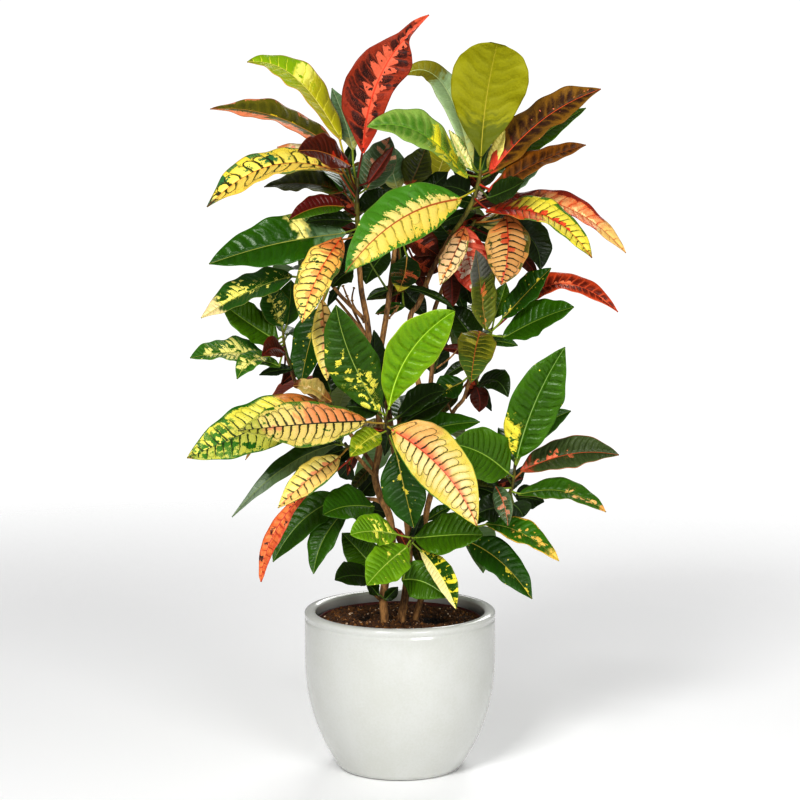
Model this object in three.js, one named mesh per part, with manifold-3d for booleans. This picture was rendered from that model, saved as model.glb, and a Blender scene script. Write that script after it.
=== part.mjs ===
// A potted croton: a white glazed pot, a plain inner nursery pot, the soil, three woody stems that stand
// in holes in the soil, and leafy shoots seated on the ends of their branches.
// Millimetres, +Z up, -Y is the front, origin at the centre of the pot's foot.
import * as THREE from "three";
import Module from "manifold-3d";

const wasm = await Module();
wasm.setup();

// ---------------------------------------------------------------- driving dimensions, mm
const gap = 0.3; // clearance between pieces that touch

const outerPot = {
  height: 180,
  rimRadius: 107.5,
  mouthRadius: 95,
  footRadius: 62,
  heelRadius: 69, // where the side starts, just above the foot
  heelHeight: 1.2,
  bellyHeight: 130, // the side is upright from here to the lip
  belly: 2.3, // higher for a fuller curve of the side
  wall: 8,
  floor: 8,
  lipBand: 9,
  lipRise: 3.8,
  groove: 1,
  sideSteps: 6,
  lipSteps: 4,
  sides: 32,
};

const innerPot = {
  top: 168,
  topRadius: 92,
  footRadius: 62,
  wall: 1.6,
  floor: 2,
  rimHeight: 7,
  rimStep: 1.4,
  rimLip: 1,
  drainHoles: 6,
  drainRadius: 4,
  drainRing: 38,
  drainSides: 8,
  sides: 28,
};

const soilSize = {
  top: 165,
  edgeDrop: 6, // how far the earth falls at its edge
  clear: 0.5,
  unevenness: 2.2,
  broadMound: 10,
  smallMound: 5.5,
  rings: 4,
  sides: 28,
  holeDepth: 60,
  holeClear: 0.4,
  holeSides: 10,
};

const cutter = 5; // how far a cutting solid reaches past the face it cuts
const stemSides = 6;
const shootSides = 5;

const blade = {
  halfThickness: 0.4,
  tipHalfWidth: 0.7,
  petioleRadius: 1.15,
  mediumLength: 60, // blades have 3 stretches, 4 from this length and 5 from the next
  largeLength: 110,
  keelFold: 10, // halves folded up by more degrees than this meet in a keel
  waveHeight: 0.09, // of the half width
  waveTurns: 11, // radians of wave along the blade
  waveOffset: 2.1, // between the two edges
  phaseStep: 2.4, // from one leaf to the next
};

// Leaves at the back: petiole length and lift, and how far the tip reaches and droops, of the length.
const backLeaf = { petiole: 16, lift: 4, reach: 0.92, droop: 0.3 };

// The front view that places are read from: column and row of a picture 800 wide, and depth y in mm.
const frontView = { distance: 2600, height: 760, aimHeight: 417, focal: 2354, centre: 400 };

// ---------------------------------------------------------------- places
const pitch = Math.atan2(frontView.height - frontView.aimHeight, frontView.distance);
const towardView = new THREE.Vector3(0, -Math.cos(pitch), Math.sin(pitch));

// The point seen at a column and row of the front view, at depth y.
function seen([column, row, y]) {
  const across = column - frontView.centre;
  const up = frontView.centre - row;
  const away = frontView.focal * Math.cos(pitch) + up * Math.sin(pitch);
  const rise = up * Math.cos(pitch) - frontView.focal * Math.sin(pitch);
  const scale = (y + frontView.distance) / away;
  return new THREE.Vector3(across * scale, y, frontView.height + rise * scale);
}

// ---------------------------------------------------------------- solids
function solidOf(points, faces) {
  const vertProperties = new Float32Array(points.flatMap((p) => [p.x, p.y, p.z]));
  const triVerts = new Uint32Array(faces);
  return new wasm.Manifold(new wasm.Mesh({ numProp: 3, vertProperties, triVerts }));
}

// The skin through rings of equally many points, closed at both ends. Each ring turns round the way
// of travel by the right-hand rule. Stretches named in `turned` are split along their other diagonal.
function loft(rings, turned = []) {
  const sides = rings[0].length;
  const faces = [];
  for (let i = 0; i < rings.length - 1; i++) {
    for (let j = 0; j < sides; j++) {
      const a = i * sides + j;
      const b = i * sides + ((j + 1) % sides);
      if (turned.includes(j)) faces.push(a, b, a + sides, b, b + sides, a + sides);
      else faces.push(a, b, b + sides, a, b + sides, a + sides);
    }
  }
  const end = (rings.length - 1) * sides;
  for (let j = 1; j < sides - 1; j++) {
    faces.push(0, j + 1, j);
    faces.push(end, end + j, end + j + 1);
  }
  return solidOf(rings.flat(), faces);
}

// A round tube along a path, from ring `from` to ring `to` of that path.
function tube(path, radii, sides, from = 0, to = path.length - 1) {
  const rings = [];
  const side = new THREE.Vector3(1, 0, 0);
  for (let i = 0; i < path.length; i++) {
    const travel = path[Math.min(i + 1, path.length - 1)].clone().sub(path[Math.max(i - 1, 0)]);
    travel.normalize();
    side.addScaledVector(travel, -side.dot(travel)).normalize();
    const other = travel.clone().cross(side);
    if (i < from || i > to) continue;
    const ring = [];
    for (let j = 0; j < sides; j++) {
      const angle = (2 * Math.PI * j) / sides;
      const place = path[i].clone();
      place.addScaledVector(side, radii[i] * Math.cos(angle));
      place.addScaledVector(other, radii[i] * Math.sin(angle));
      ring.push(place);
    }
    rings.push(ring);
  }
  return loft(rings);
}

// A turned body from its outline, given as [radius, height] from the axis round to the axis.
function turnedBody(outline, sides) {
  const points = [];
  const faces = [];
  const rows = outline.map(([radius, height]) => {
    const start = points.length;
    const count = radius === 0 ? 1 : sides;
    for (let j = 0; j < count; j++) {
      const angle = (2 * Math.PI * j) / sides;
      points.push(new THREE.Vector3(radius * Math.cos(angle), radius * Math.sin(angle), height));
    }
    return { start, count };
  });
  for (let i = 0; i < rows.length - 1; i++) {
    const low = rows[i];
    const high = rows[i + 1];
    for (let j = 0; j < sides; j++) {
      const k = (j + 1) % sides;
      if (low.count > 1) faces.push(low.start + j, low.start + k, high.start + (k % high.count));
      if (high.count > 1) faces.push(low.start + (j % low.count), high.start + k, high.start + j);
    }
  }
  return solidOf(points, faces);
}

function meshOf(name, solid, look) {
  const { numProp, numVert, vertProperties, triVerts } = solid.getMesh();
  const places = new Float32Array(numVert * 3);
  for (let i = 0; i < numVert; i++)
    for (let k = 0; k < 3; k++) places[3 * i + k] = vertProperties[numProp * i + k];
  const geometry = new THREE.BufferGeometry();
  geometry.setAttribute("position", new THREE.BufferAttribute(places, 3));
  geometry.setIndex(new THREE.BufferAttribute(new Uint32Array(triVerts), 1));
  const mesh = new THREE.Mesh(geometry, new THREE.MeshStandardMaterial(look));
  mesh.name = name;
  return mesh;
}

// ---------------------------------------------------------------- pots and soil
// The outside radius of the outer pot's side at a height.
function potRadius(height) {
  const { rimRadius, heelRadius, bellyHeight, belly } = outerPot;
  return rimRadius - (rimRadius - heelRadius) * Math.pow(1 - height / bellyHeight, belly);
}

function outerPotSolid() {
  const { height, rimRadius, mouthRadius, footRadius, heelHeight, bellyHeight, wall, floor } = outerPot;
  const { lipBand, lipRise, groove, sideSteps, lipSteps, sides } = outerPot;
  const levels = [];
  for (let i = 0; i <= sideSteps; i++)
    levels.push(heelHeight + (bellyHeight - heelHeight) * Math.pow(i / sideSteps, 1.2));
  const outline = [
    [0, 0],
    [footRadius, 0],
  ];
  for (const level of levels) outline.push([potRadius(level), level]);
  outline.push([rimRadius, height - lipBand - groove]);
  outline.push([rimRadius - groove, height - lipBand]);
  const lipHalf = (rimRadius - mouthRadius) / 2;
  for (let i = 0; i <= lipSteps; i++) {
    const angle = (Math.PI * i) / lipSteps;
    const radius = mouthRadius + lipHalf * (1 + Math.cos(angle));
    outline.push([radius, height - lipRise + lipRise * Math.sin(angle)]);
  }
  outline.push([mouthRadius, height - lipBand]);
  outline.push([rimRadius - wall, height - 2 * lipBand]);
  for (const level of levels.slice(2).reverse()) outline.push([potRadius(level) - wall, level]);
  outline.push([footRadius + innerPot.wall, floor]);
  outline.push([0, floor]);
  return turnedBody(outline, sides);
}

const nurseryFoot = outerPot.floor + gap;

function innerPotSolid() {
  const { top, topRadius, footRadius, wall, floor, rimHeight, rimStep, rimLip, sides } = innerPot;
  const { drainHoles, drainRadius, drainRing, drainSides } = innerPot;
  let solid = turnedBody(
    [
      [0, nurseryFoot],
      [footRadius, nurseryFoot],
      [topRadius - rimStep, top - rimHeight],
      [topRadius + rimLip, top - rimHeight],
      [topRadius + rimLip, top],
      [topRadius - wall, top],
      [topRadius - rimStep - wall, top - rimHeight],
      [footRadius - wall, nurseryFoot + floor],
      [0, nurseryFoot + floor],
    ],
    sides,
  );
  for (let i = 0; i < drainHoles; i++) {
    const angle = (2 * Math.PI * i) / drainHoles;
    const centre = new THREE.Vector3(drainRing * Math.cos(angle), drainRing * Math.sin(angle), 0);
    const axis = [nurseryFoot - cutter, nurseryFoot + floor + cutter].map((z) => centre.clone().setZ(z));
    solid = solid.subtract(tube(axis, [drainRadius, drainRadius], drainSides));
  }
  return solid;
}

// The inside radius of the inner pot's side at a height.
function insideRadius(height) {
  const { top, topRadius, footRadius, wall, floor, rimHeight, rimStep } = innerPot;
  const low = nurseryFoot + floor;
  const share = (height - low) / (top - rimHeight - low);
  return footRadius - wall + (topRadius - rimStep - footRadius) * share;
}

// How far the earth lies above or below its mean level.
function moundAt(x, y) {
  const { unevenness, broadMound, smallMound } = soilSize;
  const broad = Math.sin(x / broadMound + 1) * Math.cos(y / broadMound);
  const small = Math.sin((x - y) / smallMound);
  return (unevenness * (2 * broad + small)) / 3;
}

function soilSolid(stemFeet) {
  const { top, edgeDrop, clear, rings, sides, holeDepth, holeClear, holeSides } = soilSize;
  const foot = nurseryFoot + innerPot.floor + gap;
  const edge = insideRadius(top - edgeDrop) - clear;
  const outline = [
    [0, foot],
    [insideRadius(foot) - clear, foot],
    [edge, top - edgeDrop],
  ];
  for (let i = rings; i >= 0; i--) outline.push([(edge * i) / rings, top]);
  const { numProp, numVert, vertProperties, triVerts } = turnedBody(outline, sides).getMesh();
  const points = [];
  for (let i = 0; i < numVert; i++) {
    const [x, y, z] = vertProperties.slice(numProp * i, numProp * i + 3);
    points.push(new THREE.Vector3(x, y, z > top - gap ? z + moundAt(x, y) : z));
  }
  let solid = solidOf(points, triVerts);
  for (const { place, radius } of stemFeet) {
    const hole = [place.clone().setZ(top - holeDepth), place.clone().setZ(top + 3 * cutter)];
    solid = solid.subtract(tube(hole, [radius + holeClear, radius + holeClear], holeSides));
  }
  return solid;
}

// ---------------------------------------------------------------- stems
// Each branch is one line of points: woody from its root to `joint`, the number of its woody points, and
// green from there on. `thick` is its radius at the root, at the joint and at the growing tip.
const trunks = {
  trunk_left: {
    foot: [385, 622],
    thick: [4.9, 2.9, 2.5],
    wood: [
      [383, 604, -6], [385, 584, -4], [390, 560, -2], [392, 538, 0], [389, 515, 0], [380, 496, -2],
      [375, 475, -6], [379, 452, -8], [380, 430, -10], [377, 400, -8], [372, 365, -6], [370, 345, -6],
      [367, 320, -5], [363, 300, -5], [361, 287, -5],
    ],
  },
  trunk_middle: {
    foot: [401, 623],
    thick: [4.9, 2.7, 1.7],
    wood: [
      [405, 598, -10], [408, 572, -8], [409, 548, -4], [408, 525, 0], [404, 500, 4], [400, 480, 6],
      [396, 460, 10], [391, 430, 14], [387, 400, 18], [382, 370, 20], [381, 350, 20], [384, 330, 22],
      [388, 305, 25], [391, 280, 27], [393, 265, 28],
    ],
  },
  trunk_right: {
    foot: [415, 620.5],
    thick: [3.6, 2.8, 2.6],
    wood: [
      [420.5, 601, 3], [424, 580, 5], [425, 555, 6], [424, 530, 6], [428, 505, 8], [434, 480, 12],
      [434, 450, 16], [428, 420, 18], [420, 390, 16], [413, 355, 14], [410, 318, 14], [418, 305, 14],
      [424, 290, 14], [432, 270, 15],
    ],
  },
};

// ---------------------------------------------------------------- leafy shoots
// `wood` runs from inside the parent stem to the joint, `green` from the joint to the growing tip.
// A leaf: `at` is its place on the green stem from 0 to 1; `base` and `tip` are the ends of its blade and
// `bow` how far the middle of its midrib leaves the straight line, all as column, row and depth;
// `wide` is its full width in mm; `roll` turns its face from the viewer, by the right-hand rule about
// the midrib, in degrees; `fold` lifts each half from flat; `full` is where it is widest, from 0 to 1;
// `round` is lower for a blunt outline. Leaves at the back are given by `turn`, the heading in degrees
// from +X towards +Y, `rise` above level, and `long`.
const shoots = {
  leaves_top_left: {
    trunk: "trunk_left",
    green: [[359, 262, -6], [358, 235, -8], [357, 205, -10], [357, 178, -12]],
    leaves: [
      {
        at: 0.99, base: [363, 153, -16], tip: [429, 15, -34], bow: [-20, -7, -8], wide: 63, roll: 14, fold: 8,
        full: 0.42, round: 2.4,
      },
      { at: 0.9, base: [345, 135, -8], tip: [247, 62, 8], bow: [4, -24, 0], wide: 48, roll: 52, fold: 8 },
      { at: 0.94, base: [353, 150, 10], tip: [332, 88, 30], bow: [2, 0, 0], wide: 32, roll: 40, fold: 0 },
      { at: 0.84, base: [334, 147, 22], tip: [210, 109, 48], bow: [2, -17, 0], wide: 44, roll: 55, fold: 8 },
      { at: 0.86, base: [350, 166, -34], tip: [298, 151, -92], bow: [0, -6, 0], wide: 42, roll: 35, fold: 12 },
      { at: 0.76, base: [343, 174, -18], tip: [207, 207, -30], bow: [-4, -28, 0], wide: 48, roll: 50, fold: 8 },
      { at: 0.66, base: [346, 194, 10], tip: [264, 185, 34], bow: [0, -6, 0], wide: 36, roll: 56, fold: 8 },
      { at: 0.8, base: [350, 172, 14], tip: [277, 147, 44], bow: [0, -6, 0], wide: 30, roll: 45, fold: 8 },
      { at: 0.56, base: [344, 207, -24], tip: [289, 220, -66], bow: [0, -6, 0], wide: 28, roll: 20, fold: 24 },
      { at: 0.42, base: [346, 233, -22], tip: [209, 264, -58], bow: [0, -7, 0], wide: 60, roll: 24, fold: 8 },
      { at: 0.34, base: [341, 238, -32], tip: [302, 323, -92], bow: [-5, -6, -8], wide: 46, roll: 22, fold: 10 },
      { at: 0.93, base: [367, 184, -4], tip: [393, 147, 2], bow: [0, 0, 0], wide: 26, roll: -30, fold: 8 },
      { at: 0.82, base: [366, 190, 8], tip: [390, 137, 36], bow: [0, 0, 0], wide: 42, roll: -15, fold: 8 },
      { at: 0.5, base: [352, 221, -12], tip: [306, 222, -30], bow: [0, -3, 0], wide: 24, roll: 30, fold: 8 },
      { at: 0.62, base: [364, 212, 8], tip: [389, 190, 30], bow: [0, 0, 0], wide: 34, roll: -10, fold: 8 },
      { at: 0.25, base: [353, 271, -24], tip: [332, 287, -38], bow: [0, -4, 0], wide: 26, roll: 20, fold: 8 },
      { at: 0.25, base: [388, 290, -22], tip: [367, 299, -27], bow: [0, -2, 0], wide: 10, roll: 20, fold: 8 },
      { at: 0.6, turn: 110, rise: 34, long: 115, wide: 46 },
      { at: 0.35, turn: 125, rise: -10, long: 115, wide: 46 },
    ],
  },
  leaves_top_right: {
    trunk: "trunk_right",
    green: [[452, 235, 10], [470, 207, 3], [478, 185, 0], [480, 170, -2]],
    leaves: [
      {
        at: 0.99, base: [481, 157, -6], tip: [506, 42, -20], bow: [-7, -2, 12], wide: 86, roll: 0, fold: 6,
        full: 0.63, round: 1.15,
      },
      { at: 0.88, base: [467, 178, -14], tip: [367, 127, -62], bow: [12, -23, -6], wide: 46, roll: 48, fold: 8 },
      { at: 0.93, base: [472, 168, 8], tip: [402, 76, 44], bow: [9, -40, 8], wide: 34, roll: 30, fold: 8 },
      { at: 0.97, base: [472, 170, -22], tip: [449, 130, -44], bow: [0, 0, 0], wide: 26, roll: 40, fold: 8 },
      { at: 0.9, base: [490, 174, 4], tip: [601, 89, 8], bow: [-4, -15, 0], wide: 58, roll: -45, fold: 8 },
      { at: 0.82, base: [493, 178, 22], tip: [588, 110, 50], bow: [0, -6, 0], wide: 38, roll: -40, fold: 8 },
      { at: 0.72, base: [488, 192, -10], tip: [586, 145, -26], bow: [0, -11, -4], wide: 40, roll: -52, fold: 8 },
      { at: 0.95, base: [484, 170, -24], tip: [501, 136, -48], bow: [0, 0, 0], wide: 24, roll: -30, fold: 8 },
      { at: 0.75, base: [492, 194, 14], tip: [541, 163, 40], bow: [0, 0, 0], wide: 32, roll: -40, fold: 8 },
      { at: 0.66, base: [487, 198, -26], tip: [524, 181, -62], bow: [0, 0, 0], wide: 34, roll: -30, fold: 10 },
      { at: 0.62, base: [461, 199, -16], tip: [345, 273, -96], bow: [-3, -18, -8], wide: 64, roll: 12, fold: 8 },
      { at: 0.5, base: [486, 212, -18], tip: [592, 258, -62], bow: [6, -19, 0], wide: 46, roll: -48, fold: 8 },
      { at: 0.7, base: [468, 193, 16], tip: [443, 186, 34], bow: [0, -3, 0], wide: 36, roll: 15, fold: 8 },
      { at: 0.6, turn: 72, rise: 40, long: 120, wide: 48 },
      { at: 0.35, turn: 60, rise: 5, long: 115, wide: 46 },
    ],
  },
  leaves_upper_middle: {
    trunk: "trunk_middle",
    green: [[396, 240, 36], [401, 215, 46], [404, 196, 52]],
    leaves: [
      { at: 0.98, base: [409, 186, 50], tip: [426, 146, 58], bow: [0, 0, 0], wide: 38, roll: -25, fold: 8 },
      { at: 0.9, base: [415, 200, 44], tip: [448, 172, 40], bow: [0, 0, 0], wide: 30, roll: -30, fold: 8 },
      { at: 0.4, base: [407, 237, 34], tip: [439, 256, 30], bow: [0, -3, 0], wide: 38, roll: -30, fold: 10 },
      { at: 0.2, base: [389, 250, 20], tip: [366, 284, -6], bow: [-3, -3, 0], wide: 34, roll: 25, fold: 8 },
      { at: 0.3, base: [407, 256, 20], tip: [398, 292, -14], bow: [2, 0, 0], wide: 34, roll: 5, fold: 8 },
      { at: 0.35, base: [412, 258, 26], tip: [438, 272, 24], bow: [0, 0, 0], wide: 34, roll: -30, fold: 8 },
      { at: 0.95, base: [398, 190, 58], tip: [384, 140, 74], bow: [0, 0, 0], wide: 34, roll: 10, fold: 8 },
      { at: 0.25, base: [403, 287, 0], tip: [455, 310, -12], bow: [2, -5, 0], wide: 12, roll: -42, fold: 8 },
      { at: 0.28, base: [401, 287, 44], tip: [426, 316, 46], bow: [0, -2, 0], wide: 28, roll: -15, fold: 8 },
      { at: 0.7, turn: 120, rise: 20, long: 110, wide: 44 },
    ],
  },
  leaves_upper_inner: {
    trunk: "trunk_right",
    thick: [2.6, 2.3, 1.6],
    wood: [[427, 415, 18], [432, 370, 22], [434, 335, 26], [434, 312, 28], [440, 295, 30], [446, 280, 32]],
    green: [[456, 255, 36], [466, 235, 36], [476, 220, 34]],
    leaves: [
      { at: 0.7, base: [465, 228, 4], tip: [440, 285, -34], bow: [0, 0, -4], wide: 28, roll: 25, fold: 8 },
      { at: 0.8, base: [471, 236, 18], tip: [479, 288, -2], bow: [2, 0, -4], wide: 34, roll: 10, fold: 10 },
      { at: 0.95, base: [506, 216, 6], tip: [501, 285, -40], bow: [4, 0, -10], wide: 50, roll: 10, fold: 8 },
      { at: 0.99, base: [510, 198, 24], tip: [626, 253, 8], bow: [5, -21, 0], wide: 44, roll: -52, fold: 8 },
      { at: 0.9, base: [506, 226, 30], tip: [547, 281, 38], bow: [9, -8, 0], wide: 42, roll: -25, fold: 8 },
      { at: 0.2, base: [451, 273, 16], tip: [452, 308, 2], bow: [0, 0, 0], wide: 22, roll: 20, fold: 8 },
      { at: 0.2, base: [460, 264, 34], tip: [471, 304, 32], bow: [0, 0, 0], wide: 28, roll: -10, fold: 8 },
      { at: 0.4, base: [454, 240, 44], tip: [432, 213, 66], bow: [0, 0, 0], wide: 36, roll: 15, fold: 8 },
      { at: 0.6, turn: 30, rise: 10, long: 100, wide: 42 },
      { at: 0.8, turn: 75, rise: 5, long: 110, wide: 44 },
    ],
  },
  leaves_right_middle: {
    trunk: "trunk_right",
    thick: [2.3, 1.9, 1.4],
    wood: [[434, 452, 16], [445, 427, 8], [455, 409, 0], [463, 400, -3], [467, 389, -4]],
    green: [[472, 376, -3], [481, 360, 0], [489, 342, 4], [492, 328, 6]],
    leaves: [
      { at: 0.94, base: [486, 330, -6], tip: [476, 250, -40], bow: [2, 0, 8], wide: 40, roll: 38, fold: 8 },
      { at: 0.97, base: [512, 313, 14], tip: [618, 312, -2], bow: [-3, -32, 0], wide: 29, roll: -48, fold: 8 },
      { at: 0.95, base: [503, 318, -4], tip: [551, 268, -16], bow: [0, -3, 0], wide: 36, roll: -42, fold: 8 },
      { at: 0.86, base: [503, 338, -10], tip: [574, 307, -36], bow: [-1, -7, 0], wide: 44, roll: -42, fold: 8 },
      { at: 0.9, base: [479, 334, -22], tip: [471, 383, -98], bow: [2, -4, -6], wide: 44, roll: 5, fold: 18 },
      { at: 0.75, base: [476, 342, 2], tip: [447, 305, 24], bow: [2, 0, 0], wide: 38, roll: 25, fold: 8 },
      { at: 0.92, base: [494, 318, 10], tip: [506, 283, 16], bow: [0, 0, 0], wide: 24, roll: -20, fold: 8 },
      { at: 0.12, base: [477, 383, -14], tip: [508, 394, -50], bow: [2, -13, -4], wide: 32, roll: -34, fold: 8 },
      { at: 0.2, base: [476, 386, 4], tip: [479, 412, -6], bow: [2, 0, 0], wide: 22, roll: 10, fold: 10 },
      { at: 0.15, base: [463, 382, 2], tip: [438, 397, -8], bow: [-2, -2, 0], wide: 34, roll: 30, fold: 8 },
      { at: 0.6, turn: 105, rise: 5, long: 110, wide: 44 },
    ],
  },
  leaves_left_middle: {
    trunk: "trunk_left",
    thick: [2.4, 1.9, 1.4],
    wood: [[376, 470, -6], [352, 436, 12], [325, 405, 20], [298, 385, 20], [290, 366, 12]],
    green: [[286, 352, 8], [284, 343, 5], [283, 330, 4]],
    leaves: [
      { at: 0.8, base: [278, 341, -6], tip: [221, 302, -26], bow: [0, -4, 0], wide: 46, roll: 36, fold: 8 },
      { at: 0.6, base: [277, 346, 12], tip: [227, 315, 34], bow: [0, 0, 0], wide: 28, roll: 130, fold: 4 },
      { at: 0.45, base: [266, 355, -14], tip: [190, 358, -36], bow: [0, -7, 0], wide: 48, roll: 56, fold: 8 },
      { at: 0.3, base: [268, 357, -22], tip: [237, 379, -60], bow: [-2, -7, 0], wide: 26, roll: 30, fold: 12 },
      { at: 0.35, base: [284, 352, -20], tip: [262, 356, -70], bow: [0, -6, 0], wide: 26, roll: 15, fold: 14 },
      { at: 0.3, base: [280, 367, -8], tip: [253, 363, -22], bow: [0, -4, 0], wide: 24, roll: 40, fold: 8 },
      { at: 0.98, base: [282, 326, 2], tip: [267, 284, -6], bow: [0, 0, 0], wide: 38, roll: 30, fold: 8 },
      { at: 0.9, base: [287, 325, 10], tip: [291, 280, 22], bow: [0, 0, 0], wide: 34, roll: -20, fold: 8 },
      { at: 0.6, turn: 80, rise: 5, long: 105, wide: 44 },
    ],
  },
  leaves_left_inner: {
    trunk: "trunk_left",
    thick: [2.3, 1.9, 1.5],
    wood: [[367, 322, -5], [351, 306, -10], [341, 296, -16]],
    green: [[332, 285, -22], [323, 276, -26]],
    leaves: [
      { at: 0.95, base: [292, 276, -24], tip: [201, 318, -44], bow: [2, -11, 0], wide: 47, roll: 48, fold: 8 },
      { at: 0.5, base: [322, 300, -36], tip: [327, 381, -66], bow: [0, 0, -6], wide: 28, roll: 12, fold: 10 },
      { at: 0.2, base: [320, 308, -12], tip: [301, 384, -20], bow: [-3, 0, 0], wide: 42, roll: 25, fold: 8 },
      { at: 0.7, turn: 130, rise: 5, long: 100, wide: 40 },
    ],
  },
  leaves_left_lower: {
    trunk: "trunk_left",
    thick: [2.2, 2, 1.4],
    wood: [[338, 419, 17], [334, 411, 6]],
    green: [[332, 405, -2], [328, 399, -9]],
    leaves: [
      { at: 0.7, base: [318, 402, -24], tip: [187, 458, -58], bow: [0, -5, 0], wide: 61, roll: 22, fold: 8 },
      { at: 0.95, base: [320, 394, -14], tip: [292, 386, -6], bow: [0, -8, 0], wide: 26, roll: 30, fold: 16 },
      { at: 0.8, base: [331, 392, 2], tip: [322, 358, 6], bow: [0, 0, 0], wide: 34, roll: 15, fold: 8 },
      { at: 0.9, turn: 165, rise: -25, long: 100, wide: 42 },
    ],
  },
  leaves_centre: {
    trunk: "trunk_middle",
    thick: [3, 2.4, 1.8],
    wood: [[396, 462, 10], [395, 452, -10], [392, 443, -28]],
    green: [[390, 437, -38], [387, 428, -47], [385, 415, -52]],
    leaves: [
      { at: 0.95, base: [379, 411, -54], tip: [336, 305, -100], bow: [-7, 0, -4], wide: 56, roll: -8, fold: 8 },
      { at: 0.9, base: [382, 404, -44], tip: [374, 330, -50], bow: [0, 0, 4], wide: 34, roll: 40, fold: 8 },
      {
        at: 0.98, base: [389, 409, -72], tip: [455, 311, -122], bow: [-13, -5, -6], wide: 54, roll: 8, fold: 8,
        full: 0.58, round: 2,
      },
      {
        at: 0.6, base: [393, 433, -62], tip: [478, 527, -134], bow: [5, -7, -8], wide: 66, roll: 0, fold: 8,
        full: 0.42,
      },
      { at: 0.7, base: [366, 421, -66], tip: [238, 431, -118], bow: [0, -3, -4], wide: 56, roll: 24, fold: 8 },
      { at: 0.4, base: [380, 434, -54], tip: [350, 457, -92], bow: [0, -4, 0], wide: 30, roll: 20, fold: 14 },
      { at: 0.75, base: [399, 417, -46], tip: [446, 391, -56], bow: [0, -13, 0], wide: 34, roll: -42, fold: 8 },
      { at: 0.5, base: [402, 424, -40], tip: [450, 400, -34], bow: [0, -4, 0], wide: 32, roll: -35, fold: 8 },
      { at: 0.2, base: [404, 438, -34], tip: [480, 422, -22], bow: [0, -5, 0], wide: 34, roll: -38, fold: 8 },
      { at: 0.25, base: [396, 452, -44], tip: [414, 528, -58], bow: [-1, 0, -10], wide: 50, roll: 10, fold: 8 },
      { at: 0.8, base: [378, 413, -46], tip: [346, 407, -54], bow: [0, -3, 0], wide: 28, roll: 20, fold: 8 },
    ],
  },
  leaves_lower_left: {
    trunk: "trunk_left",
    thick: [2.4, 2.1, 1.5],
    wood: [[375, 476, -6], [367, 468, -12], [361, 461, -17]],
    green: [[356, 456, -21], [350, 450, -25], [345, 443, -28]],
    leaves: [
      { at: 0.9, base: [338, 444, -20], tip: [232, 517, -22], bow: [1, -15, 0], wide: 34, roll: 38, fold: 8, round: 2.2 },
      { at: 0.7, base: [340, 457, -36], tip: [278, 508, -78], bow: [2, -6, -4], wide: 33, roll: 28, fold: 10 },
      { at: 0.1, base: [321, 480, -34], tip: [260, 582, -64], bow: [-15, -6, 0], wide: 26, roll: 35, fold: 10 },
      { at: 0.4, base: [349, 464, -6], tip: [340, 477, 6], bow: [0, 0, 0], wide: 30, roll: 15, fold: 8 },
      { at: 0.8, base: [344, 449, -8], tip: [324, 455, 4], bow: [0, 0, 0], wide: 24, roll: 25, fold: 8 },
      { at: 0.6, turn: 125, rise: 5, long: 100, wide: 42 },
    ],
  },
  leaves_low_left: {
    trunk: "trunk_left",
    thick: [2.4, 2.1, 1.5],
    wood: [[384, 504, -1], [376, 500, 4], [369, 499, 9]],
    green: [[362, 499, 13], [354, 500, 16], [347, 502, 17]],
    leaves: [
      { at: 0.95, base: [341, 498, 14], tip: [273, 562, -14], bow: [-5, -11, 0], wide: 44, roll: 26, fold: 8 },
      { at: 0.7, base: [347, 509, 4], tip: [313.5, 574, -24], bow: [-7, -4, -2], wide: 33, roll: 26, fold: 8 },
      { at: 0.3, base: [374, 507, -14], tip: [323, 515, -62], bow: [0, -7, 0], wide: 50, roll: 36, fold: 8 },
      { at: 0.4, base: [361, 494, 24], tip: [377, 476, 34], bow: [0, 0, 0], wide: 28, roll: 10, fold: 8 },
      { at: 0.25, base: [368, 508, 26], tip: [389, 513, 38], bow: [0, 0, 0], wide: 24, roll: -10, fold: 8 },
      { at: 0.6, turn: 140, rise: -10, long: 110, wide: 44 },
    ],
  },
  leaves_low_middle: {
    trunk: "trunk_middle",
    thick: [3, 2.5, 1.8],
    wood: [[408, 550, -4], [410, 547, -14]],
    green: [[411, 544, -22], [411, 537, -28]],
    leaves: [
      { at: 0.9, base: [415, 538, -32], tip: [483, 535, -70], bow: [0, -3, -4], wide: 50, roll: -30, fold: 8 },
      { at: 0.7, base: [407, 547, -34], tip: [366.6, 585.5, -96], bow: [0, -3, -6], wide: 46, roll: 8, fold: 8 },
      { at: 0.95, base: [396, 534, -32], tip: [350, 535, -72], bow: [0, -5, -4], wide: 42, roll: 36, fold: 8 },
      { at: 0.4, base: [421, 551, -30], tip: [456, 609, -82], bow: [3, -3, -4], wide: 42, roll: 6, fold: 20 },
      { at: 0.45, base: [402, 580, -38], tip: [448, 598, -60], bow: [-2, -8, 0], wide: 46, roll: -16, fold: 8 },
    ],
  },
  leaves_lower_right: {
    trunk: "trunk_right",
    thick: [2.8, 2.2, 1.6],
    wood: [[424, 538, 6], [438, 524, 3], [458, 515, -3], [480, 514, -9], [497, 505, -12]],
    green: [[507, 498, -13], [512, 488, -14], [514, 476, -15], [515, 464, -16]],
    leaves: [
      { at: 0.97, base: [517, 458, -22], tip: [565, 347, -52], bow: [-4, 0, -6], wide: 60, roll: 8, fold: 8 },
      { at: 0.9, base: [524, 447, 4], tip: [571, 411, 22], bow: [-3, -5, 0], wide: 28, roll: -20, fold: 8 },
      { at: 0.6, base: [521, 474, -12], tip: [619, 455, -28], bow: [0, -13, 0], wide: 50, roll: -42, fold: 8 },
      { at: 0.25, base: [518, 495, -20], tip: [606, 512, -46], bow: [2, -15, 0], wide: 36, roll: -48, fold: 8 },
      { at: 0.3, base: [516, 498, 2], tip: [544, 502, 8], bow: [0, -3, 0], wide: 32, roll: -30, fold: 8 },
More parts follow.
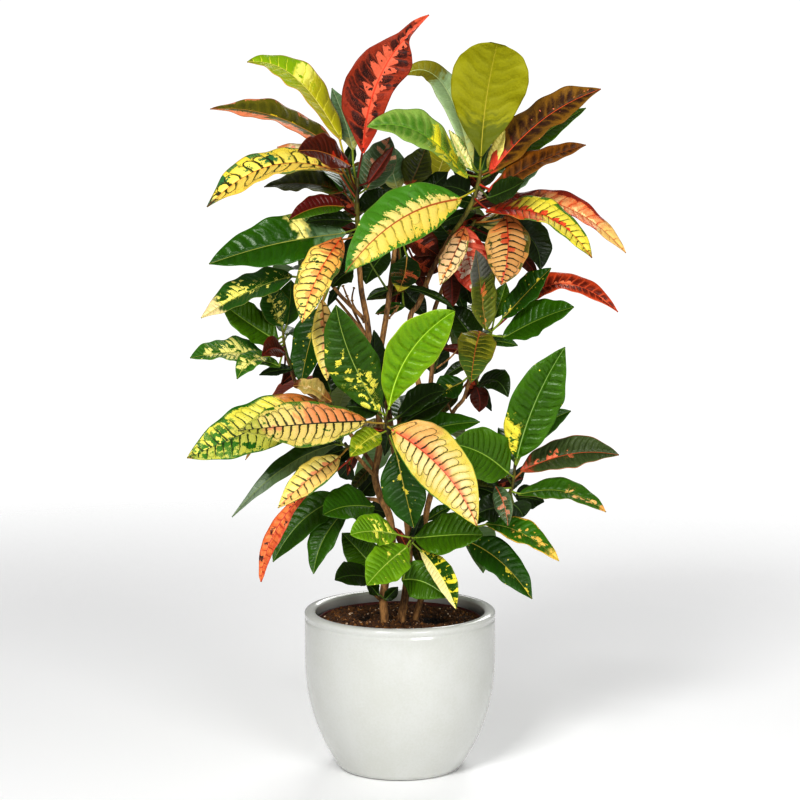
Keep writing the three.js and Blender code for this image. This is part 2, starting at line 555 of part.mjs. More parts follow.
      { at: 0.25, base: [513, 504, -16], tip: [523, 517, -10], bow: [2, 0, 0], wide: 30, roll: 0, fold: 8 },
      { at: 0.22, base: [502, 507, -28], tip: [477, 514, -26], bow: [0, -2, 0], wide: 34, roll: 10, fold: 8 },
      {
        at: 0.65, base: [508, 473, -26], tip: [451, 444, -70], bow: [4, -5, -4], wide: 58, roll: 10, fold: 8,
        round: 1.4,
      },
      { at: 0.35, base: [496, 487, -24], tip: [508, 526, -52], bow: [2, -2, -4], wide: 22, roll: 15, fold: 14 },
      { at: 0.2, base: [498, 496, 2], tip: [474, 488, 10], bow: [0, -3, 0], wide: 30, roll: 25, fold: 8 },
      { at: 0.75, turn: 85, rise: 28, long: 110, wide: 46 },
      { at: 0.45, turn: 105, rise: 0, long: 110, wide: 46 },
    ],
  },
  leaves_low_right: {
    trunk: "trunk_right",
    thick: [2.2, 2, 1.5],
    wood: [[460, 515, -4], [465, 520, -13]],
    green: [[469, 524, -19], [473, 527, -24]],
    leaves: [
      { at: 0.95, base: [486, 524, -26], tip: [559, 561, -52], bow: [0, -11, 0], wide: 37, roll: -42, fold: 8 },
      { at: 0.5, base: [467, 541, -20], tip: [532, 599, -48], bow: [2, -9, -2], wide: 41, roll: -24, fold: 8 },
      { at: 0.6, turn: 80, rise: -26, long: 100, wide: 42 },
    ],
  },
  leaves_base_left: {
    trunk: "trunk_left",
    thick: [2, 1.8, 1.4],
    wood: [[384, 601, -6], [378, 598, -9]],
    green: [[374, 593, -10], [373, 585, -8], [374, 577, -4]],
    leaves: [
      { at: 0.9, base: [371, 578, -12], tip: [335, 580, -46], bow: [0, -5, 0], wide: 34, roll: 36, fold: 8 },
      { at: 0.97, base: [376, 570, 2], tip: [342, 533, 16], bow: [1, 0, 0], wide: 38, roll: 10, fold: 8 },
      { at: 0.2, base: [378, 595, -18], tip: [367, 586, -34], bow: [0, -3, 0], wide: 16, roll: 20, fold: 8 },
      { at: 0.15, base: [385, 600, -26], tip: [398, 587, -28], bow: [0, 0, 0], wide: 14, roll: 10, fold: 8 },
    ],
  },
  leaves_back_upper: {
    trunk: "trunk_middle",
    thick: [2.7, 2.3, 1.6],
    wood: [[391, 284, 27], [398, 262, 50], [410, 242, 72]],
    green: [[420, 226, 88], [428, 211, 100], [432, 197, 106]],
    leaves: [
      { at: 0.95, turn: 70, rise: 45, long: 120, wide: 50 },
      { at: 0.9, turn: 20, rise: 25, long: 115, wide: 46 },
      { at: 0.8, turn: 160, rise: 30, long: 120, wide: 46 },
      { at: 0.6, turn: 110, rise: 10, long: 130, wide: 50 },
      { at: 0.4, turn: 50, rise: -5, long: 120, wide: 46 },
      { at: 0.2, turn: 165, rise: -12, long: 105, wide: 44 },
    ],
  },
  leaves_back_middle: {
    trunk: "trunk_right",
    thick: [2.4, 2.1, 1.5],
    wood: [[414, 360, 14], [425, 357, 38], [434, 353, 58]],
    green: [[440, 349, 74], [446, 342, 88], [450, 333, 96]],
    leaves: [
      { at: 0.2, base: [434, 374, 104], tip: [438, 333, 112], bow: [0, 0, 0], wide: 34, roll: 12, fold: 8 },
      { at: 0.95, turn: 60, rise: 20, long: 110, wide: 46 },
      { at: 0.8, turn: 110, rise: 5, long: 120, wide: 46 },
      { at: 0.5, turn: 72, rise: 14, long: 105, wide: 44 },
      { at: 0.2, turn: 128, rise: -15, long: 90, wide: 40 },
    ],
  },
  leaves_back_left: {
    trunk: "trunk_left",
    thick: [2.4, 2.1, 1.5],
    wood: [[374, 386, -7], [366, 390, 24], [360, 390, 46]],
    green: [[356, 387, 62], [352, 381, 76], [350, 373, 84]],
    leaves: [
      { at: 0.95, turn: 120, rise: 20, long: 110, wide: 46 },
      { at: 0.75, turn: 80, rise: 5, long: 120, wide: 46 },
      { at: 0.5, turn: 150, rise: -5, long: 110, wide: 44 },
      { at: 0.2, turn: 105, rise: -20, long: 100, wide: 42 },
    ],
  },
  leaves_back_lower: {
    trunk: "trunk_middle",
    thick: [2.8, 2.4, 1.6],
    wood: [[399, 474, 7], [402, 466, 34], [404, 459, 56]],
    green: [[405, 452, 72], [405, 443, 86], [404, 433, 94]],
    leaves: [
      { at: 0.95, turn: 95, rise: 25, long: 120, wide: 50 },
      { at: 0.85, turn: 50, rise: 0, long: 115, wide: 48 },
      { at: 0.75, turn: 150, rise: 5, long: 120, wide: 48 },
      { at: 0.5, turn: 75, rise: -15, long: 130, wide: 50 },
      { at: 0.3, turn: 120, rise: -20, long: 110, wide: 44 },
      { at: 0.1, turn: 25, rise: -12, long: 100, wide: 42 },
    ],
  },
};

// The stem of a branch or shoot: its path, the radius at each point and the number of the joint.
function stemOf(wood, green, thick) {
  const path = [...wood, ...green.map(seen)];
  const joint = wood.length;
  const radii = path.map((_, i) =>
    i <= joint
      ? THREE.MathUtils.lerp(thick[0], thick[1], i / joint)
      : THREE.MathUtils.lerp(thick[1], thick[2], (i - joint) / (path.length - 1 - joint)),
  );
  return { path, radii, joint };
}

// The point a share of the way along the green part of a stem.
function alongGreen({ path, joint }, share) {
  const place = joint + share * (path.length - 1 - joint);
  const before = Math.min(Math.floor(place), path.length - 2);
  return path[before].clone().lerp(path[before + 1], place - before);
}

// Where a main stem stands: the point seen at this column and row, at the level of the soil.
function footOf([column, row]) {
  const low = seen([column, row, 0]);
  const eye = new THREE.Vector3(0, -frontView.distance, frontView.height);
  const share = (frontView.height - soilSize.top) / (frontView.height - low.z);
  return eye.lerp(low, share);
}

// The midrib of a leaf, its facing normal at the middle, and how its edges wave.
function leafPlan(leaf, root, number) {
  const plan = { full: 0.45, round: 1.7, fold: 8, roll: 0, ...leaf, phase: number * blade.phaseStep };
  let facing = towardView;
  if (leaf.turn === undefined) {
    plan.base = seen(leaf.base);
    plan.tip = seen(leaf.tip);
    const middle = leaf.base.map((value, k) => (value + leaf.tip[k]) / 2 + leaf.bow[k]);
    plan.middle = seen(middle);
  } else {
    const turn = THREE.MathUtils.degToRad(leaf.turn);
    const rise = THREE.MathUtils.degToRad(leaf.rise);
    const level = new THREE.Vector3(Math.cos(turn), Math.sin(turn), 0);
    const heading = level.clone().multiplyScalar(Math.cos(rise)).setZ(Math.sin(rise));
    plan.base = root.clone().addScaledVector(heading, backLeaf.petiole);
    plan.base.z += backLeaf.lift;
    plan.middle = plan.base.clone().addScaledVector(heading, leaf.long / 2);
    plan.tip = plan.base.clone().addScaledVector(heading, leaf.long * backLeaf.reach);
    plan.tip.z -= leaf.long * backLeaf.droop;
    facing = new THREE.Vector3(0, 0, 1);
  }
  plan.root = root;
  const travel = plan.tip.clone().sub(plan.base).normalize();
  const normal = facing.clone().addScaledVector(travel, -facing.dot(travel)).normalize();
  plan.normal = normal.applyAxisAngle(travel, THREE.MathUtils.degToRad(plan.roll));
  return plan;
}

// Half of a blade's width at a share of its length.
function halfWidth({ wide, full, round }, share) {
  const rising = Math.pow(share / full, round * full);
  const falling = Math.pow((1 - share) / (1 - full), round * (1 - full));
  return (wide / 2) * rising * falling;
}

// A point of the midrib: a curve through base, middle and tip.
function midrib({ base, middle, tip }, share) {
  const place = base.clone().multiplyScalar((1 - share) * (1 - 2 * share));
  place.addScaledVector(middle, 4 * share * (1 - share));
  return place.addScaledVector(tip, share * (2 * share - 1));
}

// A ring of points round the midrib at `centre`. Its edges are lifted by `lift`, and a keeled one has a
// point on the midrib too.
function bladeRing({ normal, fold }, centre, travel, half, thickness, lift) {
  const keeled = fold > blade.keelFold;
  const angle = keeled ? THREE.MathUtils.degToRad(fold) : 0;
  const up = normal.clone().addScaledVector(travel, -normal.dot(travel)).normalize();
  const across = up.clone().cross(travel);
  const place = (side, face) => {
    const raised = side === 0 ? 0 : Math.sin(angle) * half + lift[side > 0 ? 1 : 0];
    const point = centre.clone().addScaledVector(across, half * side * Math.cos(angle));
    return point.addScaledVector(up, face * thickness + raised);
  };
  const middle = (face) => (keeled ? [place(0, face)] : []);
  return [place(1, -1), place(1, 1), ...middle(1), place(-1, 1), place(-1, -1), ...middle(-1)];
}

// One leaf: its petiole, whose root is sunk in the stem, and a thin waved blade.
function leafSolid(plan) {
  const { halfThickness, tipHalfWidth, petioleRadius, waveHeight, waveTurns, waveOffset } = blade;
  const long = plan.base.distanceTo(plan.tip);
  const steps = long < blade.mediumLength ? 3 : long < blade.largeLength ? 4 : 5;
  const still = [0, 0];
  const reach = plan.base.clone().sub(plan.root).normalize();
  const rings = [bladeRing(plan, plan.root, reach, petioleRadius, petioleRadius, still)];
  for (let i = 0; i <= steps; i++) {
    const even = i / steps;
    const share = even / 2 + (1 - Math.cos(Math.PI * even)) / 4;
    const travel = midrib(plan, share + 0.01).sub(midrib(plan, share - 0.01)).normalize();
    const half = Math.max(halfWidth(plan, share), i === 0 ? petioleRadius : tipHalfWidth);
    const wave = (offset) => waveHeight * half * Math.sin(waveTurns * share + plan.phase + offset);
    const lift = i === 0 || i === steps ? still : [wave(0), wave(waveOffset)];
    const thickness = i === 0 ? petioleRadius : halfThickness;
    rings.push(bladeRing(plan, midrib(plan, share), travel, half, thickness, lift));
  }
  return loft(rings, plan.fold > blade.keelFold ? [4, 5] : [3]);
}

// ---------------------------------------------------------------- assembly
const bark = { color: "#6b4a33", roughness: 0.85, metalness: 0 };
const foliage = { color: "#5f7d22", roughness: 0.45, metalness: 0 };
const variegated = { color: "#c9b83c", roughness: 0.45, metalness: 0 };
const yellowShoots = ["leaves_left_lower", "leaves_centre", "leaves_top_right"];

const woodParts = {};
const stemFeet = [];
const mainStems = {};
for (const [name, trunk] of Object.entries(trunks)) {
  const foot = footOf(trunk.foot);
  const root = foot.clone().setZ(soilSize.top - soilSize.holeDepth + gap);
  const wood = [root, foot, ...trunk.wood.map(seen)];
  mainStems[name] = { wood, thick: trunk.thick };
  stemFeet.push({ place: foot, radius: trunk.thick[0] });
  woodParts[name] = [];
}

const group = new THREE.Group();
for (const [name, shoot] of Object.entries(shoots)) {
  const main = mainStems[shoot.trunk];
  const wood = shoot.wood ? shoot.wood.map(seen) : main.wood;
  const stem = stemOf(wood, shoot.green, shoot.wood ? shoot.thick : main.thick);
  const { path, radii, joint } = stem;
  woodParts[shoot.trunk].push(tube(path, radii, stemSides, 0, joint));
  const away = path[joint + 1].clone().sub(path[joint - 1]).normalize();
  const seated = path.map((p, i) => (i === joint ? p.clone().addScaledVector(away, gap) : p));
  const parts = [tube(seated, radii, shootSides, joint)];
  shoot.leaves.forEach((leaf, number) => {
    parts.push(leafSolid(leafPlan(leaf, alongGreen(stem, leaf.at * 0.97), number)));
  });
  const look = yellowShoots.includes(name) ? variegated : foliage;
  group.add(meshOf(name, wasm.Manifold.union(parts), look));
}

for (const [name, parts] of Object.entries(woodParts))
  group.add(meshOf(name, wasm.Manifold.union(parts), bark));
group.add(meshOf("pot", outerPotSolid(), { color: "#e9e9e6", roughness: 0.15, metalness: 0 }));
group.add(meshOf("nursery_pot", innerPotSolid(), { color: "#6e3526", roughness: 0.6, metalness: 0 }));
group.add(meshOf("soil", soilSolid(stemFeet), { color: "#33221a", roughness: 0.95, metalness: 0 }));

export default group;
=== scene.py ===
import math
from types import SimpleNamespace

import bpy
import numpy as np
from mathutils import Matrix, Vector


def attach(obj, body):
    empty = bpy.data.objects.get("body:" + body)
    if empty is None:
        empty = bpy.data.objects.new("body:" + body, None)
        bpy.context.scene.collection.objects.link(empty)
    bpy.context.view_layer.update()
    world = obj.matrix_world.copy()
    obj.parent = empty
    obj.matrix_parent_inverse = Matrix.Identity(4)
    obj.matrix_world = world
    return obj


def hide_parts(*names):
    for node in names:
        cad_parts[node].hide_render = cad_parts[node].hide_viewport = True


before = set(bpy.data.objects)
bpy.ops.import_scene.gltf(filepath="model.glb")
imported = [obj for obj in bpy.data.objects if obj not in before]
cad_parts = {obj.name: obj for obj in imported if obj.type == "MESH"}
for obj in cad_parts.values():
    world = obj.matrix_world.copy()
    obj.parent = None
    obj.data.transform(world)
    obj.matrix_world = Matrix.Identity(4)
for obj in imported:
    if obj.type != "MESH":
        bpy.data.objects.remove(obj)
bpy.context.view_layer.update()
scene = bpy.context.scene
mm = .001

# ---- camera, light and floor
camera = {
    "distance": 2.6, "height": .76, "aimHeight": .417,
    "focal": 2354, "imageWidth": 800, "sensor": 36,  # focal length in pixels of that width
}
studio = {
    "sky": .36, "backdrop": .97, "exposure": .12, "gamma": .8, "aim": (0, 0, .42),
    "lights": {  # place and size in m, power in W
        "key": ((-1., -2.5, 2.2), .9, 66),
        "fill": ((1.3, -2.6, 1.1), 1.2, 36),
        "back": ((.6, 2.4, 1.9), 1.6, 26),
    },
    "floorRadius": 3.2, "floorFade": (.8, 2.2), "floorTint": .96, "floorRoughness": .55, "floorSides": 64,
}
pitch = math.atan2(camera["height"] - camera["aimHeight"], camera["distance"])
towardView = Vector((0, -math.cos(pitch), math.sin(pitch)))


def seen(place):
    # the point that the camera sees at a column and row of the picture, at a depth y in mm
    column, row, depth = place
    middle = camera["imageWidth"] / 2
    up = middle - row
    away = camera["focal"] * math.cos(pitch) + up * math.sin(pitch)
    rise = up * math.cos(pitch) - camera["focal"] * math.sin(pitch)
    scale = (depth * mm + camera["distance"]) / away
    return Vector(((column - middle) * scale, depth * mm, camera["height"] + rise * scale))


def addObject(name, data):
    thing = bpy.data.objects.new(name, data)
    scene.collection.objects.link(thing)
    return thing


class Wire:
    # a node's output; arithmetic with it makes further nodes, and an index picks another output of its node
    def __init__(self, tree, node, key=0):
        self.tree, self.node, self.socket = tree, node, node.outputs[key]

    def __getitem__(self, key):
        return Wire(self.tree, self.node, key)

    def __add__(self, other):
        return calc("ADD", self, other)

    def __sub__(self, other):
        return calc("SUBTRACT", self, other)

    def __rsub__(self, other):
        return calc("SUBTRACT", other, self)

    def __mul__(self, other):
        return calc("MULTIPLY", self, other)

    def __gt__(self, other):
        return calc("GREATER_THAN", self, other)

    def __lt__(self, other):
        return calc("LESS_THAN", self, other)

    def __abs__(self):
        return calc("ABSOLUTE", self)


def feed(node, inputs):
    # each input takes a value or another node's output
    for key, value in inputs.items():
        if isinstance(value, Wire):
            value.tree.links.new(value.socket, node.inputs[key])
        else:
            node.inputs[key].default_value = value


def put(tree, kind, inputs=None, **settings):
    # a node with its settings and inputs
    node = tree.nodes.new(kind)
    for key, value in settings.items():
        setattr(node, key, value)
    feed(node, inputs or {})
    return Wire(tree, node)


def treeOf(values):
    return next(value.tree for value in values if isinstance(value, Wire))


def calc(operation, *values, clamp=False):
    return put(treeOf(values), "ShaderNodeMath", dict(enumerate(values)), operation=operation, use_clamp=clamp)


def ease(value, low, high):
    # 0 below low and 1 above high, smooth between
    inputs = {"Value": value, "From Min": low, "From Max": high}
    return put(value.tree, "ShaderNodeMapRange", inputs, interpolation_type="SMOOTHSTEP")


def mix(share, first, second):
    return put(share.tree, "ShaderNodeMix", {0: share, 2: first, 3: second})


def blend(mask, under, over):
    return put(mask.tree, "ShaderNodeMix", {0: mask, 6: under, 7: over}, data_type="RGBA")[2]


def noise(vector, scale, detail=2.):
    return put(vector.tree, "ShaderNodeTexNoise", {"Vector": vector, "Scale": scale, "Detail": detail})


def resize(vector, scale):
    return put(scale.tree, "ShaderNodeVectorMath", {0: vector, "Scale": scale}, operation="SCALE")


def joinAxes(*parts):
    return put(treeOf(parts), "ShaderNodeCombineXYZ", dict(enumerate(parts)))


def splitAxes(vector):
    return put(vector.tree, "ShaderNodeSeparateXYZ", {0: vector})


def objectSpot(tree):
    return put(tree, "ShaderNodeTexCoord")["Object"]


def tint(code):
    # a colour from its six-figure code, made linear
    parts = [int(code[i:i + 2], 16) / 255 for i in (0, 2, 4)]
    return tuple(p / 12.92 if p < .04045 else ((p + .055) / 1.055) ** 2.4 for p in parts) + (1,)


def newMaterial(name):
    material = bpy.data.materials.new(name)
    material.use_nodes = True
    tree = material.node_tree
    return material, tree, tree.nodes["Principled BSDF"]


def addBump(shader, height, strength, depth):
    inputs = {"Strength": strength, "Distance": depth * mm, "Height": height}
    feed(shader, {"Normal": put(height.tree, "ShaderNodeBump", inputs)})


def makeStudio():
    scene.world = bpy.data.worlds.new("studioSky")
    scene.world.use_nodes = True
    tree = scene.world.node_tree
    shown = put(tree, "ShaderNodeLightPath")["Is Camera Ray"]
    strength = mix(shown, studio["sky"], studio["backdrop"])
    feed(tree.nodes["Background"], {"Color": (1, 1, 1, 1), "Strength": strength})
    for name, (place, size, power) in studio["lights"].items():
        lamp = addObject(name + "Light", bpy.data.lights.new(name + "Light", "AREA"))
        lamp.data.size, lamp.data.energy, lamp.location = size, power, place
        lamp.rotation_euler = (Vector(place) - Vector(studio["aim"])).to_track_quat("Z", "Y").to_euler()

    lens = bpy.data.cameras.new("frontCamera")
    lens.sensor_width = camera["sensor"]
    lens.lens = camera["focal"] * camera["sensor"] / camera["imageWidth"]
    scene.camera = addObject("frontCamera", lens)
    scene.camera.location = (0, -camera["distance"], camera["height"])
    scene.camera.rotation_euler = (math.pi / 2 - pitch, 0, 0)
    scene.view_settings.view_transform = "Standard"
    scene.view_settings.exposure = studio["exposure"]
    scene.view_settings.gamma = studio["gamma"]

    material, tree, shader = newMaterial("paleFloor")
    reach = put(tree, "ShaderNodeVectorMath", {0: objectSpot(tree)}, operation="LENGTH")["Value"]
    feed(shader, {"Base Color": (studio["floorTint"],) * 3 + (1,), "Roughness": studio["floorRoughness"],
                  "Alpha": 1 - ease(reach, *studio["floorFade"])})
    sides, radius = studio["floorSides"], studio["floorRadius"]
    ring = [2 * math.pi * i / sides for i in range(sides)]
    mesh = bpy.data.meshes.new("floor")
    mesh.from_pydata([(radius * math.cos(a), radius * math.sin(a), 0) for a in ring], [], [list(range(sides))])
    mesh.materials.append(material)
    addObject("floor", mesh)


makeStudio()
print("studio and camera are in place")

# ---- shared effects for materials


def newGroup(name, defaults):
    # a shader group with an input for each default; they come back by name
    tree = bpy.data.node_groups.new(name, "ShaderNodeTree")
    for key, value in defaults.items():
        kind = "NodeSocketColor" if isinstance(value, tuple) else "NodeSocketFloat"
        tree.interface.new_socket(key, in_out="INPUT", socket_type=kind).default_value = value
    source = tree.nodes.new("NodeGroupInput")
    return tree, SimpleNamespace(**{key: Wire(tree, source, key) for key in defaults})


def endGroup(tree, **outputs):
    for key, wire in outputs.items():
        kind = "NodeSocketColor" if wire.socket.type == "RGBA" else "NodeSocketFloat"
        tree.interface.new_socket(key, in_out="OUTPUT", socket_type=kind)
    feed(tree.nodes.new("NodeGroupOutput"), outputs)
    return tree


grainForm = {"coarseDetail": 4, "fineDetail": 3, "contrast": (.34, .66), "coatRoughness": .08}


def makeFineGrain():
    # cloudy and fine unevenness on object coordinates, stretched along the height by 1 / stretch
    defaults = {"dark": tint("202020"), "light": tint("e0e0e0"), "scale": 40., "stretch": 1., "fine": 6., "share": .5}
    tree, given = newGroup("fineGrain", defaults)
    x, y, z = splitAxes(objectSpot(tree))
    place = joinAxes(x, y, z * given.stretch)
    coarse = noise(place, given.scale, grainForm["coarseDetail"])
    mixed = mix(given.share, coarse, noise(place, given.scale * given.fine, grainForm["fineDetail"]))
    mask = ease(mixed, *grainForm["contrast"])
    return endGroup(tree, colour=blend(mask, given.dark, given.light), mask=mask, height=mixed)


fineGrain = makeFineGrain()


def grainMaterial(name, look):
    # a finish with the fine grain in its colour, its roughness and its relief
    material, tree, shader = newMaterial(name)
    values = {key: tint(look[key]) for key in ("dark", "light")}
    values.update({key: look[key] for key in ("scale", "stretch", "fine", "share")})
    grain = put(tree, "ShaderNodeGroup", values, node_tree=fineGrain)
    low, high = look["roughness"]
    rough = put(tree, "ShaderNodeMapRange", {"Value": grain["mask"], "To Min": low, "To Max": high})
    feed(shader, {"Base Color": grain["colour"], "Roughness": rough, "Coat Weight": look.get("coat", 0),
                  "Coat Roughness": grainForm["coatRoughness"]})
    addBump(shader, grain["height"], look["bump"], look["depth"])
    return material, shader, grain


# ---- leaf paint
# each leaf's colours in this order, a dash for the first row's, and then what else differs from leafValues
leafColours = "ground fill second splash heart rim vein midrib base tip petiole edge under".split()
leafValues = {
   "fillAmount": .5, "fillReach": .7, "fillSpread": .2, "fillSoft": .8, "secondAmount": 0., "secondSide": 1.,
   "secondTo": 2., "splashReach": 0., "splashSpread": .3, "splashChance": 1., "splashFrom": -1., "splashTo": 2.,
   "splashSide": 0., "splashBroken": 0., "splashSharp": 0., "heartReach": 0., "heartSide": 0., "rimWidth": 0.,
   "rimSide": 0., "rimSpread": .3, "patches": 0., "patchSide": 0., "patchTo": 2., "speckle": 0.,
   "veinStrength": .4, "veinWidth": .055, "veinReach": .9, "breaks": 0., "loopStrength": 0., "midribWidth": .9,
   "baseReach": 0., "baseSide": 0., "tipReach": 0., "dots": 0., "mottle": .6, "edgeStrength": .35, "relief": .5,
   "gloss": .3, "veins": 12.,
}
